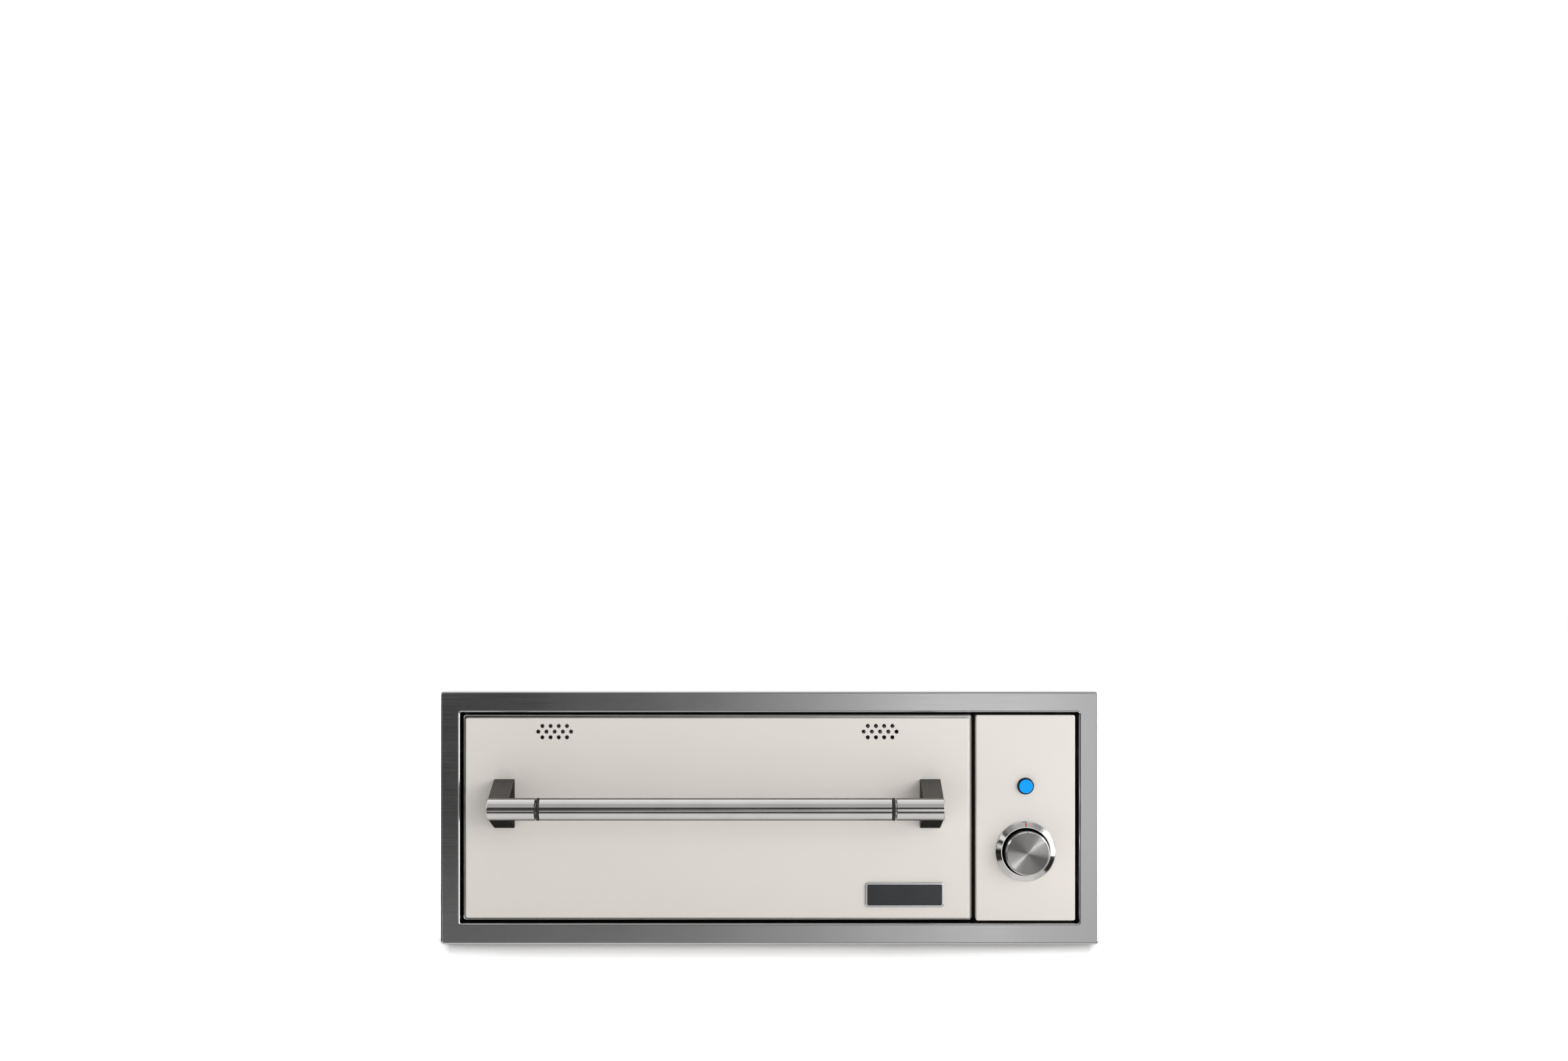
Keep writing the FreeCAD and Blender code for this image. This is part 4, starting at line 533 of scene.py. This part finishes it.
def skin_over(bm, lower, upper):
    """Closes two grids of points, one over the other, into one thin solid."""
    rows, columns = len(lower), len(lower[0])
    for i in range(rows - 1):
        for j in range(columns - 1):
            for grid in (lower, upper):
                bm.faces.new((grid[i][j], grid[i + 1][j], grid[i + 1][j + 1], grid[i][j + 1]))
    rim = [(i, 0) for i in range(rows)] + [(rows - 1, j) for j in range(1, columns)]
    rim += [(i, columns - 1) for i in range(rows - 2, -1, -1)] + [(0, j) for j in range(columns - 2, 0, -1)]
    for (i, j), (k, m) in zip(rim, rim[1:] + rim[:1]):
        bm.faces.new((lower[i][j], lower[k][m], upper[k][m], upper[i][j]))


# A mark's height, the share of it that is left at its rim, and how flat its crown is each way
MARK_LIFT = 0.12 * MM
MARK_RIM = 0.3
CROWN_ALONG, CROWN_ACROSS = 6, 4
MARK_ROWS, MARK_COLUMNS = 10, 6


def inlay(name, node, start, along, across, look, body, slot):
    """A mark filled with enamel: a crowned strip that follows a CAD surface as seen from one side."""
    mesh = NODES[node].data
    surface = BVHTree.FromPolygons([v.co for v in mesh.vertices], [p.vertices for p in mesh.polygons])
    bm = bmesh.new()
    lower, upper = [], []
    for i in range(MARK_ROWS + 1):
        lower.append([])
        upper.append([])
        for j in range(MARK_COLUMNS + 1):
            u, v = i / MARK_ROWS, j / MARK_COLUMNS
            spot, normal, _, _ = surface.ray_cast(start + along * u + across * (v - 0.5), look)
            crown = (1 - abs(2 * u - 1) ** CROWN_ALONG) * (1 - abs(2 * v - 1) ** CROWN_ACROSS)
            lower[-1].append(bm.verts.new(spot))
            upper[-1].append(bm.verts.new(spot + normal * MARK_LIFT * (MARK_RIM + (1 - MARK_RIM) * crown)))
    skin_over(bm, lower, upper)
    keep(name, bm, body, slot)


# Each mark's length and width, and where it starts: out from the axis, or back from the knob's face
BEZEL_MARK = (4.0 * MM, 1.4 * MM)
BEZEL_MARK_RADIUS = 29.3 * MM
KNOB_MARK = (8.0 * MM, 0.9 * MM)
KNOB_MARK_SETBACK = 0.2 * MM
LOOK_FROM = 0.01


def pointer_marks():
    """The red mark on the bezel's front and the black one on top of the knob."""
    inlay(
        "bezel_mark", "knob_bezel",
        start=Vector((KNOB_AXIS.x, BEZEL_FACE - LOOK_FROM, KNOB_AXIS.z + BEZEL_MARK_RADIUS)),
        along=Vector((0, 0, BEZEL_MARK[0])), across=Vector((BEZEL_MARK[1], 0, 0)), look=Vector((0, 1, 0)),
        body="chassis", slot="mark_red",
    )
    inlay(
        "knob_mark", "knob_body",
        start=Vector((KNOB_AXIS.x, KNOB_LOW.y + KNOB_MARK_SETBACK, KNOB_HIGH.z + LOOK_FROM)),
        along=Vector((0, KNOB_MARK[0], 0)), across=Vector((KNOB_MARK[1], 0, 0)), look=Vector((0, 0, -1)),
        body="knob", slot="mark_black",
    )


# Rings of a screw, from the sheet outwards: radius or half the width over flats, height,
# and whether it is a hexagon
HEX_HEAD = [
    (4.2, 0.0, False), (4.2, 0.5, False), (3.9, 0.8, False), (3.2, 0.8, True), (3.2, 2.3, True),
    (2.9, 2.6, True), (1.9, 2.6, False), (1.5, 2.2, False),
]
SUNK_HEAD = [
    (2.15, -1.15, False), (2.15, -0.2, False), (2.0, -0.05, False), (1.1, -0.05, True), (1.1, -0.75, True),
]
TURNS = 24
ANGLES = [math.tau * i / TURNS for i in range(TURNS)]


def hexagon(angle):
    """How far a hexagon's edge lies from its middle at an angle, where its flats are at 1."""
    return 1 / math.cos((angle + math.pi / 6) % (math.pi / 3) - math.pi / 6)


def screws(name, rings, places, out, body):
    """Screws of one kind with their heads facing one way, each left at its own angle."""
    chance = random.Random(name)
    facing = Vector(out).to_track_quat("Z", "Y").to_matrix().to_4x4()
    bm = bmesh.new()
    for spot in places:
        pose = Matrix.Translation(spot) @ facing @ Matrix.Rotation(chance.uniform(0, math.pi / 3), 4, "Z")
        loops = []
        for radius, height, is_hex in rings:
            reach = [radius * MM * (hexagon(a) if is_hex else 1) for a in ANGLES]
            points = [Vector((r * math.cos(a), r * math.sin(a), height * MM)) for r, a in zip(reach, ANGLES)]
            loops.append([bm.verts.new(pose @ point) for point in points])
        for lower, upper in zip(loops, loops[1:]):
            for i in range(TURNS):
                bm.faces.new((lower[i], lower[i - 1], upper[i - 1], upper[i]))
        bm.faces.new(loops[0])
        middle = bm.verts.new(pose @ Vector((0, 0, rings[-1][1] * MM)))
        for i in range(TURNS):
            bm.faces.new((loops[-1][i], loops[-1][i - 1], middle))
    keep(name, bm, body, "plain_steel")


def evenly(first, last, count):
    """Evenly spaced values, ends included."""
    return [first + (last - first) * i / (count - 1) for i in range(count)]


SHEET = 1.2 * MM
FLANGE_MIDDLE = SHEET + 7.0 * MM
COVER_SCREWS_Y = evenly(0.07, 0.46, 4)
SIDE_SCREWS = 3
SIDE_SCREW_MARGIN = 0.04
RAIL_HOLES = 4
RAIL_HOLE_SETBACK = 40.0 * MM


def casing_screws():
    """Screws that hold the top cover to the side flanges, and the sides to the back's flange."""
    top = CASING_HIGH.z
    flange_y = CASING_HIGH.y - FLANGE_MIDDLE
    heights = evenly(SIDE_SCREW_MARGIN, top - SIDE_SCREW_MARGIN, SIDE_SCREWS)
    for side, wall in (("left", CASING_LOW.x), ("right", CASING_HIGH.x)):
        way = math.copysign(1, wall)
        flange_x = wall - way * FLANGE_MIDDLE
        on_cover = [Vector((flange_x, y, top)) for y in COVER_SCREWS_Y]
        on_wall = [Vector((wall, flange_y, z)) for z in heights]
        screws(f"cover_screws_{side}", HEX_HEAD, on_cover, (0, 0, 1), "chassis")
        screws(f"side_screws_{side}", HEX_HEAD, on_wall, (way, 0, 0), "chassis")


def rail_screws():
    """Flush screws in the rails' holes: outer rails to the cavity, inner rails to the drawer's sides."""
    for side, way in (("left", 1), ("right", -1)):
        for rail, body, out in (("outer", "chassis", way), ("inner", "drawer", -way)):
            low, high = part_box(f"slide_{rail}_{side}")
            web = (low.x if out > 0 else high.x) + out * SHEET
            middle = (low.z + high.z) / 2
            rows = evenly(low.y + RAIL_HOLE_SETBACK, high.y - RAIL_HOLE_SETBACK, RAIL_HOLES)
            in_holes = [Vector((web, y, middle)) for y in rows]
            screws(f"{rail}_rail_screws_{side}", SUNK_HEAD, in_holes, (out, 0, 0), body)


WOOL_GRID = 7 * MM
TUFT_SIZE = 35 * MM
TUFT_DEPTH = 4 * MM


def wool_batt(name, node, body):
    """Loose wool in place of a plain block: its skin remeshed, rounded off and drawn in by tufts."""
    mesh = NODES[node].data.copy()
    mesh.materials.clear()
    mesh.materials.append(MATERIALS["wool"])
    piece = bpy.data.objects.new(name, mesh)
    bpy.context.scene.collection.objects.link(piece)
    grid = piece.modifiers.new("grid", "REMESH")
    grid.mode = "VOXEL"
    grid.voxel_size = WOOL_GRID
    grid.use_smooth_shade = True
    soften = piece.modifiers.new("soften", "SMOOTH")
    soften.factor = 0.5
    soften.iterations = 5
    clouds = bpy.data.textures.new(name, "CLOUDS")
    clouds.noise_scale = TUFT_SIZE
    clouds.noise_depth = 3
    tufts = piece.modifiers.new("tufts", "DISPLACE")
    tufts.texture = clouds
    tufts.texture_coords = "LOCAL"
    tufts.mid_level = -0.2
    tufts.strength = -TUFT_DEPTH
    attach(piece, body)
    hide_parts(node)


pointer_marks()
casing_screws()
rail_screws()
wool_batt("wool_blanket", "insulation_blanket", "chassis")
wool_batt("wool_front", "front_insulation", "drawer")


# Studio

# The floor's painted light turns it white this far from the part, and beside it as many times sooner
FLOOR_FADE = 0.6
SOONER_AT_TRIM, SOONER_BEHIND = 16.0, 2.0
BEHIND_TRIM = 0.4

# In front, painted light fades the shadow out across the trim's lower corners and narrows it forwards
CORNER_FADE = (-0.011, 0.004)
NARROWING = 0.14
TRIM_DEPTH = 0.03

FLOOR_HALF = 30.0
FLOOR_WHITE = (0.8, 0.8, 0.8)
FLOOR_BOUNCE = (0.50, 0.50, 0.50)


def floor_glow(tree):
    """Painted light added to the floor where the camera sees it: none under the part, where the floor's own
    shading shows as shadow, and white away from it, which shapes that shadow.
    """
    spot = add(tree, "ShaderNodeSeparateXYZ", {0: place(tree)})
    x, y = spot.outputs["X"], spot.outputs["Y"]
    past_side = math_node(tree, "SUBTRACT", math_node(tree, "ABSOLUTE", x), TRIM_HIGH.x)
    sooner = spread(tree, y, SOONER_AT_TRIM, SOONER_BEHIND, TRIM_FACE, TRIM_FACE + BEHIND_TRIM)
    beside = math_node(tree, "MULTIPLY", past_side, sooner)
    middle_y = (TRIM_FACE + PART_BACK) / 2
    half_y = (PART_BACK - TRIM_FACE) / 2
    from_middle = math_node(tree, "ABSOLUTE", math_node(tree, "SUBTRACT", y, middle_y))
    along = math_node(tree, "SUBTRACT", from_middle, half_y)
    away = math_node(tree, "MAXIMUM", beside, along)
    glow = ramp(tree, spread(tree, away, 0.0, 1.0, 0.0, FLOOR_FADE), [
        (0.0, 0.0), (0.033, 0.05), (0.09, 0.22), (0.125, 0.335), (0.175, 0.41), (0.33, 0.58), (1.0, 0.8),
    ])
    narrowed = math_node(tree, "ADD", past_side, math_node(tree, "MULTIPLY", along, NARROWING))
    in_front = spread(tree, y, 1.0, 0.0, TRIM_FACE, TRIM_FACE + TRIM_DEPTH)
    near_corner = math_node(tree, "MULTIPLY", spread(tree, narrowed, 0.0, 1.0, *CORNER_FADE), in_front)
    return blend(tree, near_corner, glow, FLOOR_WHITE)


def stage_floor():
    """A wide pale floor that ends in white, kept out of reflections so that metal shows the light bands."""
    corners = [(x * FLOOR_HALF, y * FLOOR_HALF, FLOOR_Z) for x, y in ((-1, -1), (1, -1), (1, 1), (-1, 1))]
    mesh = bpy.data.meshes.new("floor")
    mesh.from_pydata(corners, [], [(0, 1, 2, 3)])
    floor = bpy.data.objects.new("floor", mesh)
    bpy.context.scene.collection.objects.link(floor)
    made, tree, shader = material("floor_paper", Emission_Strength=1.0)
    paper = noise(tree, 40.0)
    seen = add(tree, "ShaderNodeLightPath").outputs["Is Camera Ray"]
    drive(
        tree, shader,
        Base_Color=tones(tree, paper, (0.64, 0.64, 0.64), 0.004),
        Roughness=spread(tree, paper, 0.85, 0.95),
        Emission_Color=blend(tree, seen, FLOOR_BOUNCE, floor_glow(tree)),
    )
    mesh.materials.append(made)
    floor.visible_glossy = False


# What the metal sees: how bright each thing is, and where the lamp hangs
WINDOW_TIMES = 1.5
RINGS_TIMES = 3.0
BACK_LOW, BACK_HIGH = (0.75, 0.75, 0.75), (1.1, 1.1, 1.1)
FLAG_DARK = (0.01, 0.01, 0.01)
STRIP_LIGHT = (6.0, 6.0, 6.0)
LAMP_LIGHT = (50.0, 50.0, 50.0)
LAMP_WAY = (0.797, -0.31, 0.517)
WHITE = (1.0, 1.0, 1.0)


def seen_ahead(tree, x, z):
    """Straight ahead: bands of light by height and, at eye level, a window that brightens to the right."""
    height = spread(tree, z, 0.0, 1.0, -1.0, 1.0)
    across = spread(tree, x, 0.0, 1.0, -1.0, 1.0)
    bands = ramp(tree, height, [
        (0.00, 0.80), (0.18, 0.80), (0.20, 0.02), (0.295, 0.02), (0.31, 0.40), (0.52, 0.40),
        (0.545, 0.05), (0.685, 0.05), (0.705, 0.52), (0.93, 0.52), (0.95, 0.80), (1.0, 0.80),
    ])
    window = ramp(tree, across, [
        (0.0, 0.40), (0.25, 0.30), (0.35, 0.004), (0.43, 0.006), (0.455, 0.04), (0.485, 0.14), (0.50, 0.20),
        (0.515, 0.34), (0.528, 0.66), (0.5425, 1.15), (0.550, 0.95), (0.560, 0.34), (0.62, 0.60), (1.0, 0.70),
    ])
    eye_level = ramp(tree, height, [
        (0.0, 0.0), (0.38, 0.0), (0.46, 1.0), (0.52, 1.0), (0.545, 0.0), (1.0, 0.0),
    ])
    return blend(tree, eye_level, bands, brighter(tree, window, WINDOW_TIMES))


def seen_aside(tree, x, y, z):
    """To the sides: light and dark sectors like those of a clock face, in a near ring and a far one."""
    clock = spread(tree, math_node(tree, "ARCTAN2", z, x), 0.0, 1.0, -math.pi, math.pi)
    near_ring = ramp(tree, clock, [
        (0.0, 0.10), (0.042, 0.30), (0.058, 0.85), (0.150, 0.85), (0.18, 0.28), (0.29, 0.24), (0.328, 0.08),
        (0.43, 0.06), (0.50, 0.06), (0.55, 0.08), (0.578, 0.90), (0.617, 0.90), (0.644, 0.17), (0.861, 0.13),
        (0.894, 0.05), (0.958, 0.05), (1.0, 0.10),
    ])
    far_ring = ramp(tree, clock, [
        (0.0, 0.17), (0.042, 0.01), (0.069, 0.01), (0.083, 0.20), (0.25, 0.25), (0.367, 0.20), (0.38, 0.01),
        (0.461, 0.01), (0.472, 0.48), (0.597, 0.48), (0.633, 0.12), (0.75, 0.14), (0.861, 0.10),
        (0.897, 0.02), (0.917, 0.30), (0.936, 0.015), (0.958, 0.015), (0.978, 0.30), (1.0, 0.17),
    ])
    on_axis = math_node(tree, "POWER", y, 2.0)
    off_axis = math_node(tree, "SQRT", math_node(tree, "SUBTRACT", 1.0, on_axis))
    far = spread(tree, off_axis, 0.0, 1.0, 0.72, 0.82)
    return brighter(tree, blend(tree, far, near_ring, far_ring), RINGS_TIMES)


def with_lamps(tree, room, direction, x, y, z, glossy):
    """The room with what only reflections show: a dark flag at the left, a strip light at the right, a lamp."""
    level = math_node(tree, "ABSOLUTE", math_node(tree, "ADD", z, 0.1))
    band = math_node(tree, "MULTIPLY", spread(tree, level, 1.0, 0.0, 0.06, 0.14), glossy)
    flag = math_node(tree, "MULTIPLY", band, spread(tree, x, 1.0, 0.0, -0.42, -0.32))
    to_right = spread(tree, x, 0.0, 1.0, 0.80, 0.87)
    in_front = spread(tree, y, 1.0, 0.0, -0.34, -0.22)
    strip = math_node(tree, "MULTIPLY", band, math_node(tree, "MULTIPLY", to_right, in_front))
    from_lamp = vector_node(tree, "DISTANCE", direction, LAMP_WAY)
    lamp = math_node(tree, "MULTIPLY", spread(tree, from_lamp, 1.0, 0.0, 0.06, 0.10), glossy)
    flagged = blend(tree, flag, room, FLAG_DARK)
    return blend(tree, lamp, blend(tree, strip, flagged, STRIP_LIGHT), LAMP_LIGHT)


def studio_world():
    """White to the camera. Metal sees a pale room behind the part and bands, rings and lamps before it."""
    world = bpy.data.worlds.new("studio")
    bpy.context.scene.world = world
    world.use_nodes = True
    tree = world.node_tree
    tree.nodes.clear()
    direction = add(tree, "ShaderNodeTexCoord").outputs["Generated"]
    x, y, z = add(tree, "ShaderNodeSeparateXYZ", {0: direction}).outputs
    rays = add(tree, "ShaderNodeLightPath").outputs
    aside = spread(tree, math_node(tree, "ABSOLUTE", x), 0.0, 1.0, 0.30, 0.42)
    front = blend(tree, aside, seen_ahead(tree, x, z), seen_aside(tree, x, y, z))
    back = blend(tree, spread(tree, z, 0.0, 1.0, 0.0, 0.1), BACK_LOW, BACK_HIGH)
    room = blend(tree, spread(tree, y, 0.0, 1.0, -0.05, 0.15), front, back)
    lit = with_lamps(tree, room, direction, x, y, z, rays["Is Glossy Ray"])
    colour = blend(tree, rays["Is Camera Ray"], lit, WHITE)
    background = add(tree, "ShaderNodeBackground", {"Color": colour, "Strength": 1.0})
    output = tree.nodes.new("ShaderNodeOutputWorld")
    tree.links.new(background.outputs[0], output.inputs[0])


def area_light(name, position, target, size, power):
    """A soft rectangular light aimed at a point."""
    data = bpy.data.lights.new(name, "AREA")
    data.shape = "RECTANGLE"
    data.size, data.size_y = size
    data.energy = power
    light = bpy.data.objects.new(name, data)
    light.location = position
    light.rotation_euler = (Vector(target) - Vector(position)).to_track_quat("-Z", "Y").to_euler()
    light.visible_glossy = False
    bpy.context.scene.collection.objects.link(light)


# The camera stood straight in front, a little right of the middle and just above the part.
# Its picture is framed higher than the camera stood.
CAMERA_DISTANCE = 2.7
CAMERA_X = 0.0168
CAMERA_Z = 0.37
VIEW_MIDDLE_Z = 0.4579
VIEW_WIDTH = 1.81705
SENSOR = 36.0


def camera():
    """The photograph's camera: level, straight on, with the part in the lower half of the frame."""
    data = bpy.data.cameras.new("camera")
    data.sensor_fit = "HORIZONTAL"
    data.sensor_width = SENSOR
    data.lens = SENSOR * CAMERA_DISTANCE / VIEW_WIDTH
    data.shift_y = (VIEW_MIDDLE_Z - CAMERA_Z) / VIEW_WIDTH
    data.clip_end = 100.0
    seat = bpy.data.objects.new("camera", data)
    seat.location = (CAMERA_X, TRIM_FACE - CAMERA_DISTANCE, CAMERA_Z)
    seat.rotation_euler = (math.pi / 2, 0, 0)
    bpy.context.scene.collection.objects.link(seat)
    bpy.context.scene.camera = seat


stage_floor()
studio_world()
area_light("overhead", position=(0.0, 0.45, 2.4), target=(0.0, 0.45, 0.0), size=(2.4, 1.1), power=34.0)
area_light("right", position=(1.3, -1.5, 0.25), target=(0.1, 0.0, 0.12), size=(1.0, 1.0), power=14.0)
camera()
bpy.context.scene.view_settings.view_transform = "Standard"
